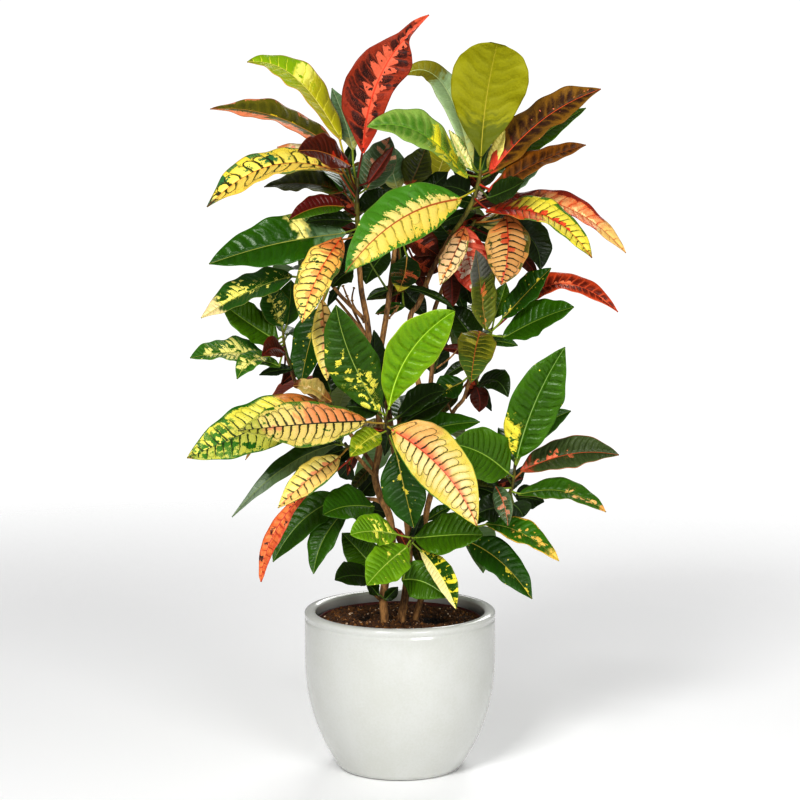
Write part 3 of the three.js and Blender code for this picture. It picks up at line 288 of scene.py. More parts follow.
# painted sheen: deepBanded's grey-green base colour is a painted sheen of light on its dark green blade; its cream band
# is its own colour
# painted sheen: the grey twisted leaf's grey-green second half and grey tip are a painted sheen of light on a dark
# green blade
leafLooks = """
usual: 2f6a08 245408 245408 f4e25a e86a48 2f6a08 1c2004 a8b050 6a8c1c 5a4a18 8ca034 c8a860 7d8c50
maroon: 9a3616 300d05 c4482a e07050 - 3a120a c05838 d8482c c03a20 d05a34 6a2414 4a140c 8a4a3c fillAmount 1
 fillReach .76 fillSpread .34 fillSoft .5 secondAmount .34 secondSide -1 secondTo .45 splashReach .42
 splashSpread .34 splashTo .9 splashBroken .36 splashSharp .55 patches .1 patchSide -.8 speckle .2
 veinStrength .35 veinWidth .075 breaks .8 loopStrength .15 midribWidth 1.2 baseReach .08 baseSide -.5
 tipReach .1 mottle .9 relief .35 gloss .34 veins 15
limeVeined: 85a700 93b100 a4ac08 e6e070 - - ded848 e8dc7a b4ae1a 6a4a10 b0a020 e8a060 secondAmount .7
 splashReach .5 splashFrom .33 splashTo .56 splashSide -1 splashBroken .4 veinStrength .85 baseReach .42
 tipReach .05 mottle .3 edgeStrength .8
greyGreen: 87a880 52702a - - - - 4a6c44 c0d0a0 c8c878 - - bcd0a8 baseReach .2 mottle .5 gloss .45 veins 16
oliveRimmed: 777208 4a4902 - e8c828 - e88e60 524702 d89a50 - 7a3414 a07828 b8602c fillAmount .8 splashReach .1
 splashChance .2 rimWidth .24 rimSide 1 rimSpread .5 veinStrength .5 tipReach .06 mottle .5 edgeStrength .8
maroonDark: 5a1e07 240902 - b83418 - - 7a280c c08038 - - 5c2c14 985828 splashReach .3 splashChance .6
 splashTo .36 splashSharp 1 mottle .8 edgeStrength .7 gloss .26
yellowVeined: f6dc50 faea78 f4c860 - - 3c7a44 34380a b83c20 e09848 5a7a5c 9c4c28 e8b050 d8c468 fillAmount .7
 fillReach .74 fillSoft .7 secondAmount .5 rimWidth .04 rimSide -1 rimSpread .34 patches .22 patchSide -.8
 speckle .3 veinStrength .6 veinWidth .1 breaks .5 loopStrength 1 baseReach .14 tipReach .08 mottle .25
bronze: 4b5407 272e02 - b85830 - - 4c4c18 6a4c20 984424 - 985a2c 5c4420 6a6034 fillAmount .8 splashReach .2
 splashChance .5 splashTo .25 baseReach .08 mottle .8
creamPink: f0d8a8 f6e4bc - eca088 - - b89c78 e08a6c 98a8a0 d08048 - b86040 splashReach .3 baseReach .3
 tipReach .16 mottle .35 edgeStrength .8 veins 16
redGreen: 446902 2d4c01 5e100a - - - 204404 a07028 - - 5a160a 7c943c secondAmount 1.2 secondSide -1 mottle .4
 gloss .2 veins 16
deepBanded: 2f5e01 1e4201 - f6e88c - - 123402 a0a050 7c9c70 - - 507c2c splashReach .8 splashSpread .05
 splashFrom .27 splashTo .36 splashSide -1 baseReach .24 mottle .5 relief .9 gloss .18 veins 9
orangeYellow: f3d166 f3ea96 ffb659 f0a860 - 4a7030 - d84c20 d88044 - c88a40 - c89850 fillReach .8 fillSoft .7
 secondAmount .7 secondTo .5 splashReach .1 rimWidth .05 rimSpread .5 patches .2 speckle .4 veinStrength .9
 veinWidth .1 breaks .3 loopStrength .7 baseReach .22 mottle .35
darkRed: 5c2008 340c03 - - - - 300804 882818 - - 5e180c 843020 6c3024 gloss .4 veins 16
greyStriped: 5c7450 344b16 - e0a080 - - a8b49c c86a44 - - - b89880 splashReach .35 splashSpread .8
 splashChance .4 veinStrength .5 mottle .8 gloss .24 veins 16
darkGreen: 223a02 142401 - - - - 0c1b01 506c28 - - 5c6c28 2e4e14 44582c mottle .5 relief .35 gloss .22
deepGreen: 376302 244701 - - - - 153401 80983c - - - 48742a 6c8c4c mottle .5 relief .4 gloss .2
spotted: 295601 1a3b01 - e4d04c - - 133101 a8983c - - - 3c6418 splashReach .05 splashChance .3 dots .2 mottle .5
 relief .6
oliveYellow: 989600 848400 - - - - 6c6e00 b8a83c 646c00 - 8a8a1c 8a8010 a0a044 fillAmount .35 veinStrength .25
 veinWidth .12 midribWidth .6 baseReach .34 mottle .8 relief .7 gloss .5 veins 9
archGreen: 90ac52 467812 - e8dc38 - - 1c4408 78a838 - - - 6c9858 fillAmount .8 splashReach 1.1 splashSpread 1.2
 splashChance .85 splashTo .4 splashBroken .36 splashSharp .8 mottle .5 relief .7
creamGreen: f2e696 eef0b8 - a8c870 - 5c8838 a8b868 dcd468 - - - a8bc50 c8cc88 splashReach .1 rimWidth .12
 rimSpread .7 patches .15 mottle .35 veins 16
freshGreen: 4c7404 365902 - - - - 225404 98b44c - - - 68a028 84a460 mottle .45 relief 1 gloss .22
bronzeCoral: 8b620f 3c1c03 - f08c68 - - 623508 e2603a d84a34 - 8a5820 5c2c0c b37f32 fillAmount .95
 splashReach .36 splashChance .5 splashTo .2 splashSide .5 splashBroken .4 splashSharp .7 veinStrength .3
 midribWidth 1.1 baseReach .13 baseSide .5 dots .05 mottle .9 gloss .42
brownRed: 88540b 3e1e03 - - - - 5f3406 a0582c e04c38 - c83c28 98482a fillAmount .8 baseReach .14 mottle .7
 gloss .42
paleYellow: e6d878 f2e898 - - - - b8b450 dcd470 c8c048 - - b8b858 baseReach .2 mottle .4 veins 16
creamHero: dac256 e2d285 f0d040 e8e070 - 4d851f 343c08 b05c2c - 3c7c20 b8b030 8ca844 d0c878 fillAmount .9
 fillReach .72 fillSpread .5 fillSoft .7 secondAmount .35 rimWidth .36 rimSide -.75 rimSpread .16 patches .2
 patchSide -.3 speckle .4 veinStrength .55 veinWidth .08 veinReach .6 breaks .6 loopStrength .25 midribWidth 1.5
 tipReach .1 dots .08 mottle .3 veins 13
redYellow: e2d244 ece06c cc4028 d8482c - 4a7c20 3c3810 c8381c ae2416 7a5a28 a03018 a89840 fillSoft .7
 secondAmount .9 secondSide -1 secondTo .5 splashReach .03 rimWidth .06 rimSide .9 veinStrength .9 veinWidth .08
 breaks .4 loopStrength .3 baseReach .25 tipReach .06 mottle .35 veins 16
coralDark: 5f2209 330f03 - d05c38 - - 2c0c04 c05830 - - 6a2c14 7c4028 splashReach .2 splashSpread .6
 splashChance .5 mottle .8 veins 16
coralPatched: 244006 142e02 - e8784c - - 0c2402 c89850 - d8cc48 - 6c7c30 splashReach .5 splashSpread .9
 splashChance .7 splashFrom .35 splashTo .75 splashBroken .4 tipReach .2 veins 16
coralPink: cc4428 dc6444 e89078 f8e0cc - a82c18 8c2414 c83c20 - - a83c20 c85838 b8705c secondAmount .35
 splashReach .6 splashSpread .6 splashChance .8 splashFrom .2 splashTo .85 splashSide -.6 splashBroken .42
 rimWidth .12 rimSpread .6 veinStrength .7 mottle .8 veins 16
coralRed: ea7440 f8d494 - f8dca0 - 9c2c14 a83418 b8341a 6c140a f0c878 8c2810 8c3018 a85a48 splashReach .2
 splashSpread .7 splashChance .6 splashFrom .35 splashBroken .45 splashSharp 1 rimWidth .12 rimSide .8
 veinStrength .5 baseReach .24 tipReach .26 mottle .9
greySpotted: 79802d 4b591c - dc8c44 - - 405416 a08848 - 6c6c64 - 98a060 fillAmount .7 splashReach .05
 splashChance .3 tipReach .4 dots .16 mottle .9 veins 16
redVeined: c64b1f 661e07 - f08a5c - - d26e46 e05838 - - 7c2010 e88a5c 8c4030 fillAmount 1 splashReach .06
 splashChance .6 splashSharp 1 veinStrength .35 veinWidth .09 mottle .7 edgeStrength .8 veins 16
oliveStriped: 7c7c1c 3e4c0c - b8b048 - - c8bc40 b05830 8c5c3c 4c6420 - b87850 fillAmount .8 splashReach .2
 splashSpread .7 splashChance .2 splashTo .6 veinStrength .6 baseReach .12 tipReach .4 mottle .9
brownUnder: 8c6434 684018 - - - - 5c3814 b88c50 - - - 9c7440 5c6c24 mottle .7 gloss .45 veins 16
yellowBarred: 2c5d04 1c4802 - f4e878 - - 143c02 - - f2dca0 - b8b058 splashReach .5 splashChance .7
 splashSide -.5 splashBroken .5 splashSharp .2 tipReach .2 veins 16
yellowHero: e6dc54 f2ec80 70984c 4c8428 - 2c6c14 143c04 28340a c07030 d8a858 98a834 5c8428 c8cc78 fillReach .84
 fillSoft .7 secondAmount .35 splashReach .75 splashSpread .5 splashFrom .62 splashBroken .47 rimWidth .07
 rimSide -.3 rimSpread .1 patches .16 patchSide .6 speckle .3 veinStrength .95 veinWidth .11 veinReach .85
 breaks .25 loopStrength .35 baseReach .16 baseSide -.6 tipReach .04 veins 16
splashedGreen: 3a6103 244501 - f4ea64 - f0e45a 103402 98a850 - - - 508428 splashReach .55 splashSpread .4
 splashChance .8 splashTo .34 splashSide .1 splashBroken .47 patches .14 patchSide .9 patchTo .66
 veinStrength .6 dots .03 relief 1 gloss .26
lime: 7aa200 5c8c00 - - - - 4c8802 b8d84c 94ac0c - - c8d848 a0c048 baseReach .1 mottle .9 edgeStrength .6
 relief 1.4 gloss .2 veins 11
roseHero: dcc758 ebd39c e5b16d - e07858 3c7828 242804 c85838 e0b850 - b0a034 5c8c34 d0c470 fillAmount .95
 fillReach .68 fillSpread .45 fillSoft .75 secondAmount .9 secondTo .3 heartReach .1 heartSide 1 rimWidth .02
 rimSide -.9 rimSpread .04 speckle .6 veinStrength .35 veinWidth .08 breaks .38 loopStrength .95 midribWidth 1.1
 baseReach .06 mottle .35 veins 16
orangeHero: d8c469 e2cf8c d68c58 e09a70 - 3c6c18 182004 20240a b8702c b0b04c a88c3c a8b040 d0b470 fillReach .78
 fillSoft .7 secondAmount .95 secondSide -1 secondTo .5 splashReach .2 splashChance .4 splashFrom .3
 splashSide 1 splashBroken .45 rimWidth .08 rimSpread .2 patches .13 veinStrength .95 veinWidth .11 breaks .25
 loopStrength .7 midribWidth 1.2 baseReach .05 baseSide -1 tipReach .2 mottle .8 veins 15
yellowCurl: 8c9c18 4c6c04 - d8cc48 - - c8c850 c8c858 - - - b8b048 splashReach .3 splashChance .4 patches .2
 mottle .9 veins 16
greyTwist: 284b08 163202 6c8458 - - - 103002 7c8c4c - 7c8c74 - 607c48 a8b49c secondAmount .9 tipReach .34
 gloss .24
peach: f5de6f f5eea6 f0b878 f0a070 - 48782c 20280a a87838 - - c89c48 8c9840 e8c878 fillSoft .7 secondAmount .5
 splashReach .06 rimWidth .05 rimSide .9 rimSpread .1 veinStrength .9 veinWidth .11 breaks .3 loopStrength .25
 mottle .35 veins 10
coralPanelled: ca5232 ec9858 e8883c f2b060 - 3c1408 8c2c14 b83018 - - a84028 9c3420 b06448 fillAmount .55
 fillReach .8 secondAmount .4 secondSide -1 splashReach .1 splashChance .5 patches .26 patchSide -.8 patchTo .8
 veinStrength .6 veinWidth .09 breaks .5 mottle .9 veins 13
splashedLime: 769e11 4e7d06 - f2ec6c - f0e868 3a7108 b0c460 - - - 88b440 splashReach .2 splashSpread .6
 splashChance .5 splashTo .5 splashSide -.8 splashBroken .5 patches .15 patchSide -.6 patchTo .5 dots .04
 mottle .35 relief .7
halfYellow: 2e5a04 1e4402 ece0a0 e8d840 - - 3c6410 f0e488 - - - b8b048 secondAmount 1.3 secondSide -1
 splashReach .9 splashChance .7 splashSide 1 splashBroken .5 midribWidth 1.1 dots .1 veins 16
quiltedGreen: 467301 2b5001 - f4e058 - f0e050 184001 90ac5c - - - 4c7c2c splashReach .04 splashChance .2
 splashTo .36 patches .33 patchSide 1 patchTo .3 dots .05 mottle .5 relief 1.4 gloss .2
bronzeSpotted: 4c5c30 2c3c14 - ea8058 - - 2b2f06 c05838 c85038 - a86c38 c87850 splashReach .22 splashChance .6
 splashTo .5 splashBroken .42 splashSharp .6 baseReach .1 dots .08 mottle .8 edgeStrength .8 relief .8 veins 16
yellowRimmed: 417605 295603 - e8bc58 - e8bc48 194803 98a048 - ecc458 - d8a848 splashReach .4 splashFrom .4
 splashBroken .55 rimWidth .06 rimSide -.5 rimSpread .2 tipReach .14 relief .7
oliveCurl: b4cc9c 98b47c - - - - 7c9468 c8d8a0 c8c878 8a8410 - a8a040 8c8c30 baseReach .16 tipReach .46
 gloss .42 veins 16
crumpled: c4aa64 98904a - dcca98 - - 6c5420 b89048 8c5828 6c3c18 - 6c4420 b09858 splashReach .3 splashBroken .5
 speckle .4 baseReach .2 tipReach .2 mottle .8 edgeStrength .9 veins 8
squiggled: 406d0b 2b5005 - e8b870 - - 1a4003 8c9c40 - e8a858 - b88c48 splashReach .5 splashFrom .5
 splashBroken .5 tipReach .08 relief .7
peachPanelled: f2d29c f8e6b8 ecaa7c f0a860 - 6c7c30 - a04828 d88044 - c88a40 - c89850 fillReach .8 fillSoft .7
 secondAmount .4 secondSide -1 secondTo .8 splashReach .1 rimWidth .05 rimSpread .5 patches .08 speckle .4
 veinStrength .9 veinWidth .1 breaks .45 loopStrength .7 baseReach .22 mottle .35 veins 8
orangeRibbed: c99a58 e0bc80 bc7842 c85c38 - 5c5c20 - b42c1c d88044 - c88a40 - c89850 fillReach .8 fillSoft .7
 secondAmount .4 secondTo .9 splashReach .14 rimWidth .05 rimSpread .5 patches .1 speckle .4 veinStrength 1
 veinWidth .11 breaks .15 loopStrength .7 baseReach .22 mottle .35
mosaicGreen: 41741a 2c5c08 - f0e68c - - 143c02 - - 3c6c20 - a8b868 splashReach .75 splashSpread .5
 splashChance .9 splashFrom .12 splashTo .8 splashBroken .42 splashSharp .2 tipReach .1 dots .05 veins 16
"""


def readRows(text):
    # (name, words) for each name with a colon
    rows = []
    for word in text.split():
        if word[-1] == ":":
            rows.append((word[:-1], []))
        else:
            rows[-1][1].append(word)
    return rows


def readLook(words):
    start = next((i for i, word in enumerate(words) if word in leafValues), len(words))
    look = {key: tint(code) for key, code in zip(leafColours, words[:start]) if code != "-"}
    look.update({key: float(value) for key, value in zip(words[start::2], words[start + 1::2])})
    return look


looks = {name: readLook(words) for name, words in readRows(leafLooks)}
usualLook = {**looks.pop("usual"), **leafValues}
looks = {name: {**usualLook, **look} for name, look in looks.items()}

# how fine each unevenness of the paint is: noise per cm, and for streak and spikes per side vein
paintScales = SimpleNamespace(
    wobble=.9, ripple=4.5, grain=13., fine=30., streak=1., spikes=2.6, clumps=1.4, patches=.8, cells=2.3,
    breaks=1.7, swell=2.2, alongStripe=2.4, acrossStripe=.7)


def makeLeafPaint():
    # every marking follows the side veins
    tree, given = newGroup("leafPaint", {key: value for key, value in usualLook.items() if key != "veins"})

    def attribute(name):
        return splitAxes(put(tree, "ShaderNodeAttribute", attribute_name=name)["Vector"])

    def isUsed(value):
        return value > .001

    def onSide(value):
        # 1 on both halves for 0, up to 2 on one half and 0 on the other for 1 or -1
        return handed * value + 1

    def draw(number):
        # a random number for each panel between two side veins
        where = joinAxes(index, side * 7 + number, seed)
        return put(tree, "ShaderNodeTexWhiteNoise", {"Vector": where})["Value"]

    def archDistance(reach):
        # how far outside a panel's round-ended tongue a point is, in cm
        radius = spacing * .47
        beyond = calc("MAXIMUM", acrossCm - (reach * half - radius), 0)
        x = (t - .5) * spacing
        return calc("SQRT", x * x + beyond * beyond) - radius

    scales = paintScales
    along, across, phase = attribute("leafPlace")  # share along, share across from the midrib, count of side veins
    alongCm, signedCm, half = attribute("leafSize")  # along, across and half width in cm
    seed, under, spacing = attribute("leafKind")  # seed, 1 on the underside, spacing of the side veins in cm
    d, acrossCm, side = abs(across), abs(signedCm), across > 0
    handed = side * 2 - 1
    shifted = seed * 17
    spot = joinAxes(alongCm, signedCm, shifted)
    wobble = noise(spot, scales.wobble) - .5
    ripple = noise(spot, scales.ripple, 3.) - .5
    grain, fine = noise(spot, scales.grain), noise(spot, scales.fine)
    count = phase + side * .5 + (wobble * .3 + ripple * .13)
    index, t = calc("FLOOR", count), calc("FRACT", count)
    ridge = abs(t * 2 - 1)
    bulge = 1 - calc("POWER", ridge, 3)
    stripe = joinAxes(count * scales.alongStripe, signedCm * scales.acrossStripe, shifted)
    streak = noise(stripe, scales.streak, 3.) - .5
    spikes = noise(stripe, scales.spikes) - .5

    # panels between the side veins, with round ends or soft ones
    reach = (draw(1) - .5) * given.fillSpread + given.fillReach
    arch = archDistance(reach + ripple * .05) + ripple * .05
    inside = mix(given.fillSoft, ease(arch, .02, -.02), bulge * ease(d, 1., .35))
    mottle = (streak * 2.2 + ripple) * given.mottle + (grain - .5) * 1.2 * given.mottle
    fill = calc("MULTIPLY_ADD", inside, given.fillAmount, mottle, clamp=True)
    colour = blend(fill, given.ground, given.fill)
    isHalf = handed * given.secondSide > 0
    until = ease(along + (streak + wobble) * .3, given.secondTo + .07, given.secondTo - .07)
    second = isHalf * until * given.secondAmount * (grain * .5 + (streak * .6 + .75))
    colour = blend(calc("MINIMUM", second, 1), colour, given.second)

    # splashes spread from the midrib, by a different share in each panel
    reach = (draw(2) - .5) * (given.splashSpread * 2) + given.splashReach
    reach = reach + handed * (given.splashSide * given.splashReach)
    reach = reach + (streak * .3 + spikes * .25)
    begins = ease(along - given.splashFrom + wobble * .3, -.03, .03)
    ends = ease(wobble * .3 + given.splashTo - along, -.03, .03)
    pointed = reach * half * ((1 - ridge) * .7 + .3) * -1.15 + acrossCm
    splash = mix(given.splashSharp, archDistance(reach), pointed) + ((grain - .5) * .16 + ripple * .2)
    clumps = ripple * .3 + noise(spot, scales.clumps)
    splash = ease(splash, .03, -.03) * ease(clumps - given.splashBroken, -.02, .02)
    splash = splash * (reach > .04) * (begins * ends) * (draw(3) < given.splashChance)
    colour = blend(splash * isUsed(given.splashReach), colour, given.splash)
    heartEdge = given.heartReach * onSide(given.heartSide) * (1.3 - along) * (streak * 2.4 + 1)
    heart = ease(heartEdge - d, -.16, .2) * isUsed(given.heartReach)
    colour = blend(heart * (grain * .5 + .7), colour, given.heart)

    # the margin's own colour, deeper in some panels, and patches of it further in
    rimFrom = given.rimWidth * onSide(given.rimSide) + (draw(4) - .5) * given.rimSpread
    rimFrom = (spikes * 2 + ripple) * (given.rimWidth * .9) + rimFrom
    rimFrom = (1 - bulge) * (given.rimWidth * .4) + rimFrom
    rim = ease(d + rimFrom - 1, -.02, .03) * isUsed(given.rimWidth)
    patch = noise(spot, scales.patches, 3.) + (spikes * .25 + ripple * .25)
    patch = ease(given.patches * onSide(given.patchSide) * .4 + patch, .7, .74) * isUsed(given.patches)
    patch = patch * ease((wobble + ripple) * -.35 + given.patchTo - along, -.03, .03)
    patch = patch * ease(ripple * .4 + d, .12, .3)
    colour = blend(calc("MAXIMUM", rim, patch), colour, given.rim)

    cells = put(tree, "ShaderNodeTexVoronoi", {"Vector": spot, "Scale": scales.cells})
    chosen = put(tree, "ShaderNodeSeparateColor", {0: cells["Color"]}) < given.dots
    dots = (1 - ease(ripple * .6 + cells["Distance"], .12, .26)) * chosen
    colour = blend(dots, colour, given.splash)
    base = ease(streak * .35 + given.baseReach * onSide(given.baseSide) - along, -.05, .09)
    colour = blend(base * isUsed(given.baseReach) * (grain * .4 + .75), colour, given.base)
    tip = ease((wobble + streak) * .15 + (along + given.tipReach - 1), -.02, .06)
    colour = blend(tip * isUsed(given.tipReach), colour, given.tip)

    # lines: side veins, the arches that join them, the edge and the midrib
    thick = given.veinWidth * (ripple * 2. + (ease(d, .6, 0) * .8 + .75))
    veinEnd = (draw(6) - .5) * .3 + given.veinReach
    veins = (1 - ease(calc("MINIMUM", t, 1 - t), thick * .45, thick)) * ease(d, veinEnd, veinEnd - .2)
    broken = ease(noise(spot, scales.breaks, 1.), given.breaks * .55, given.breaks * .55 + .08)
    thickCm = thick * spacing
    loops = (1 - ease(abs(arch), thickCm * .45, thickCm)) * (draw(5) > .2)
    lines = calc("MAXIMUM", veins * given.veinStrength, loops * given.loopStrength)
    colour = blend(lines * broken, colour, given.vein)
    colour = blend(ease(fine, .6, .66) * ease(d, .35, .85) * given.speckle, colour, given.vein)
    colour = blend(ease(d, .95, .985) * given.edgeStrength, colour, given.edge)
    ribWidth = given.midribWidth * (along * -.07 + .1)
    colour = blend(1 - ease(acrossCm, ribWidth * .55, ribWidth), colour, given.midrib)
    colour = blend(under * .8, colour, given.under)
    colour = blend(ease(along, .004, -.01), colour, given.petiole)

    roughness = veins * .1 + (fine * .16 + given.gloss + under * .22)
    pillow = ease(1 - ridge, 0, .75) * (ease(d, 1., .7) * ease(acrossCm, .04, .4))
    height = pillow * (given.relief * (wobble * .8 + 1))
    height = ripple * .3 + (fine * .04 + height) + ease(noise(spot, scales.swell), .3, .7) * .12
    return endGroup(tree, colour=colour, roughness=roughness, height=height)


leafPaint = makeLeafPaint()


def leafMaterial(name):
    material, tree, shader = newMaterial("leaf_" + name)
    values = {key: value for key, value in looks[name].items() if key != "veins"}
    paint = put(tree, "ShaderNodeGroup", values, node_tree=leafPaint)
    feed(shader, {"Base Color": paint["colour"], "Roughness": paint["roughness"], "Specular IOR Level": .28})
    addBump(shader, paint["height"], 1., 1)
    return material


leafMaterials = {name: leafMaterial(name) for name in looks}


def newPiece(name, mesh, nodes):
    piece = addObject(name, mesh)
    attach(piece, "root")
    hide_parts(*nodes)


# ---- pots
glazedPot = {
    "height": 180, "rimRadius": 107.5, "mouthRadius": 95, "footRadius": 62, "heelRadius": 69,
    "heelHeight": 1.2, "bellyHeight": 130, "belly": 2.3, "wall": 8, "floor": 8,
    "lipBand": 9, "lipRise": 3.8, "sides": 144, "unevenness": .12,
    "sideSteps": 28, "insideFrom": 6, "straightTo": 145, "lipSteps": 20,
    "footEdge": 6, "heelEdge": (2.2, .25),
    "groove": ((0, -3), (-.3, -1.6), (-1, -.4), (-.9, .6), (-.2, 1.8)),  # out from the rim, up from the lip's foot
    "underLip": ((-4.1, 0), (-1, -5), (0, -9)),  # out from the wall's inside, up from the lip's foot
}
nurseryPot = {
    "foot": 8.3, "top": 168, "topRadius": 92, "footRadius": 62, "wall": 1.6, "floor": 2,
    "rimHeight": 7, "rimStep": 1.4, "rimLip": 1, "rimRound": .8, "sides": 96, "sideSteps": 8,
}
glazeLook = {
    "dark": "c6c7c1", "light": "cbccc8", "scale": 22., "stretch": 1., "fine": 18., "share": .45,
    "roughness": (.1, .2), "bump": .06, "depth": .3, "coat": .4,
}
plasticLook = {
    "dark": "48160e", "light": "6c2418", "scale": 60., "stretch": .3, "fine": 12., "share": .5,
    "roughness": (.45, .6), "bump": .25, "depth": .2,
}


def turnedMesh(name, outline, sides, material, unevenness=0):
    # an outline of (radius, height) in mm, from the axis round to the axis
    points, faces, rows = [], [], []
    for radius, height in outline:
        count = 1 if radius == 0 else sides
        rows.append((len(points), count))
        for j in range(count):
            angle = 2 * math.pi * j / sides
            swell = unevenness * math.sin(3 * angle + height / 31) * math.sin(height / 23 + 2 * angle)
            reach = (radius + (swell if radius else 0)) * mm
            points.append((reach * math.cos(angle), reach * math.sin(angle), height * mm))
    for (low, lowCount), (high, highCount) in zip(rows, rows[1:]):
        for j in range(sides):
            k = (j + 1) % sides
            ends = (low, low) if lowCount == 1 else (low + j, low + k)
            ends += (high, high) if highCount == 1 else (high + k, high + j)
            faces.append(tuple(dict.fromkeys(ends)))
    mesh = bpy.data.meshes.new(name)
    mesh.from_pydata(points, [], faces)
    mesh.materials.append(material)
    mesh.shade_smooth()
    return mesh


def halfRing(centre, radius, steps):
    angles = [math.pi * i / steps for i in range(steps + 1)]
    return [(centre[0] + radius[0] * math.cos(a), centre[1] + radius[1] * math.sin(a)) for a in angles]


def makePot():
    p = SimpleNamespace(**glazedPot)

    def radiusAt(height):
        return p.rimRadius - (p.rimRadius - p.heelRadius) * (1 - height / p.bellyHeight) ** p.belly

    levels = [p.heelHeight + (p.bellyHeight - p.heelHeight) * i / p.sideSteps for i in range(p.sideSteps + 1)]
    lipFoot, lipHalf = p.height - p.lipBand, (p.rimRadius - p.mouthRadius) / 2
    outline = [
        (0, 0), (p.footRadius - p.footEdge, 0), (p.footRadius, 0), (p.heelRadius - p.heelEdge[0], p.heelEdge[1]),
        *[(radiusAt(level), level) for level in levels],
        (p.rimRadius, p.straightTo), *[(p.rimRadius + out, lipFoot + up) for out, up in p.groove],
        *halfRing((p.mouthRadius + lipHalf, p.height - p.lipRise), (lipHalf, p.lipRise), p.lipSteps),
        *[(p.rimRadius - p.wall + out, lipFoot + up) for out, up in p.underLip],
        *[(radiusAt(level) - p.wall, level) for level in reversed(levels[p.insideFrom:])],
        (p.footRadius + nurseryPot["wall"], p.floor), (0, p.floor),
    ]
    material = grainMaterial("whiteGlaze", glazeLook)[0]
    newPiece("glazed_pot", turnedMesh("glazed_pot", outline, p.sides, material, p.unevenness), ["pot"])


def insideRadius(height):
    # the inside radius of the nursery pot's side at a height
    n = SimpleNamespace(**nurseryPot)
    low = n.foot + n.floor
    share = (height - low) / (n.top - n.rimHeight - low)
    return n.footRadius - n.wall + (n.topRadius - n.rimStep - n.footRadius) * share


def makeNurseryPot():
    n = SimpleNamespace(**nurseryPot)
    side, step, outer = n.topRadius - n.rimStep, n.top - n.rimHeight, n.topRadius + n.rimLip
    outline = [
        (0, n.foot), (n.footRadius - 1, n.foot), (n.footRadius, n.foot + 1),
        *[(n.footRadius + (side - n.footRadius) * i / n.sideSteps, n.foot + 1 + (step - n.foot - 1) * i / n.sideSteps)
          for i in range(1, n.sideSteps + 1)],
        (outer - .3, step), (outer, step + .3),
        *halfRing((outer - n.rimRound, n.top - n.rimRound), (n.rimRound, n.rimRound), n.sideSteps),
        (outer - 1.6, n.top - 2), (side - n.wall, step),
        (n.footRadius - n.wall, n.foot + n.floor), (0, n.foot + n.floor),
    ]
    mesh = turnedMesh("nursery_pot_inner", outline, n.sides, grainMaterial("nurseryPlastic", plasticLook)[0])
    newPiece("nursery_pot_inner", mesh, ["nursery_pot"])


makePot()
makeNurseryPot()
print("both pots are made")

# ---- soil: an uneven bed with crumbs scattered over it
soilBed = {
    "top": 165, "edgeDrop": -1, "clear": .5, "unevenness": 2.2, "broadMound": 10, "smallMound": 5.5,
    "foot": 10.6, "rings": 60, "sides": 120, "lumps": 1.3,
    "hollows": [(364, 614, 11, 13), (430, 615, 14, 14), (443, 617, 9, 9)],  # column, row, reach and depth in mm
    "longHollow": 2.2,  # how much further a hollow reaches in depth than across
    "darkBelow": 11, "litBelow": 2.5,  # how deep under the top the painted shade of the hollows is full and where it starts
}
crumbs = {
    "Density": 60000., "Pale Density": 14000., "Size": 4.2 * mm, "Pale Size": 3.6 * mm, "Seed": 11,
}
earthLook = {
    "dark": "0c0603", "light": "644020", "scale": 240., "stretch": 1., "fine": 5., "share": .5,
    "roughness": (.85, 1.), "bump": .7, "depth": 1.2,
}


def footOf(place):
    # the point of the soil's level that is seen at a column and row
    low = seen((*place, 0))
    eye = Vector((0, -camera["distance"], camera["height"]))
    share = (camera["height"] - soilBed["top"] * mm) / (camera["height"] - low.z)
    return eye.lerp(low, share)


def newTree(name, values):
    # a geometry tree with an input for each value, besides its geometry and its material
    tree = bpy.data.node_groups.new(name, "GeometryNodeTree")
    kinds = {key: "Int" if isinstance(value, int) else "Float" for key, value in values.items()}
    for key, kind in {"Geometry": "Geometry", **kinds, "Material": "Material"}.items():
        socket = tree.interface.new_socket(key, in_out="INPUT", socket_type="NodeSocket" + kind)
        if key in values:
            socket.default_value = values[key]
    tree.interface.new_socket("Geometry", in_out="OUTPUT", socket_type="NodeSocketGeometry")
    return tree, Wire(tree, tree.nodes.new("NodeGroupInput"))


def endTree(tree, given, parts):
    joined = tree.nodes.new("GeometryNodeJoinGeometry")
    for part in parts:
        feed(joined, {0: part})
    whole = put(tree, "GeometryNodeRealizeInstances", {0: Wire(tree, joined)})
    painted = put(tree, "GeometryNodeSetMaterial", {"Geometry": whole, "Material": given["Material"]})
    feed(tree.nodes.new("NodeGroupOutput"), {"Geometry": painted})
    return tree


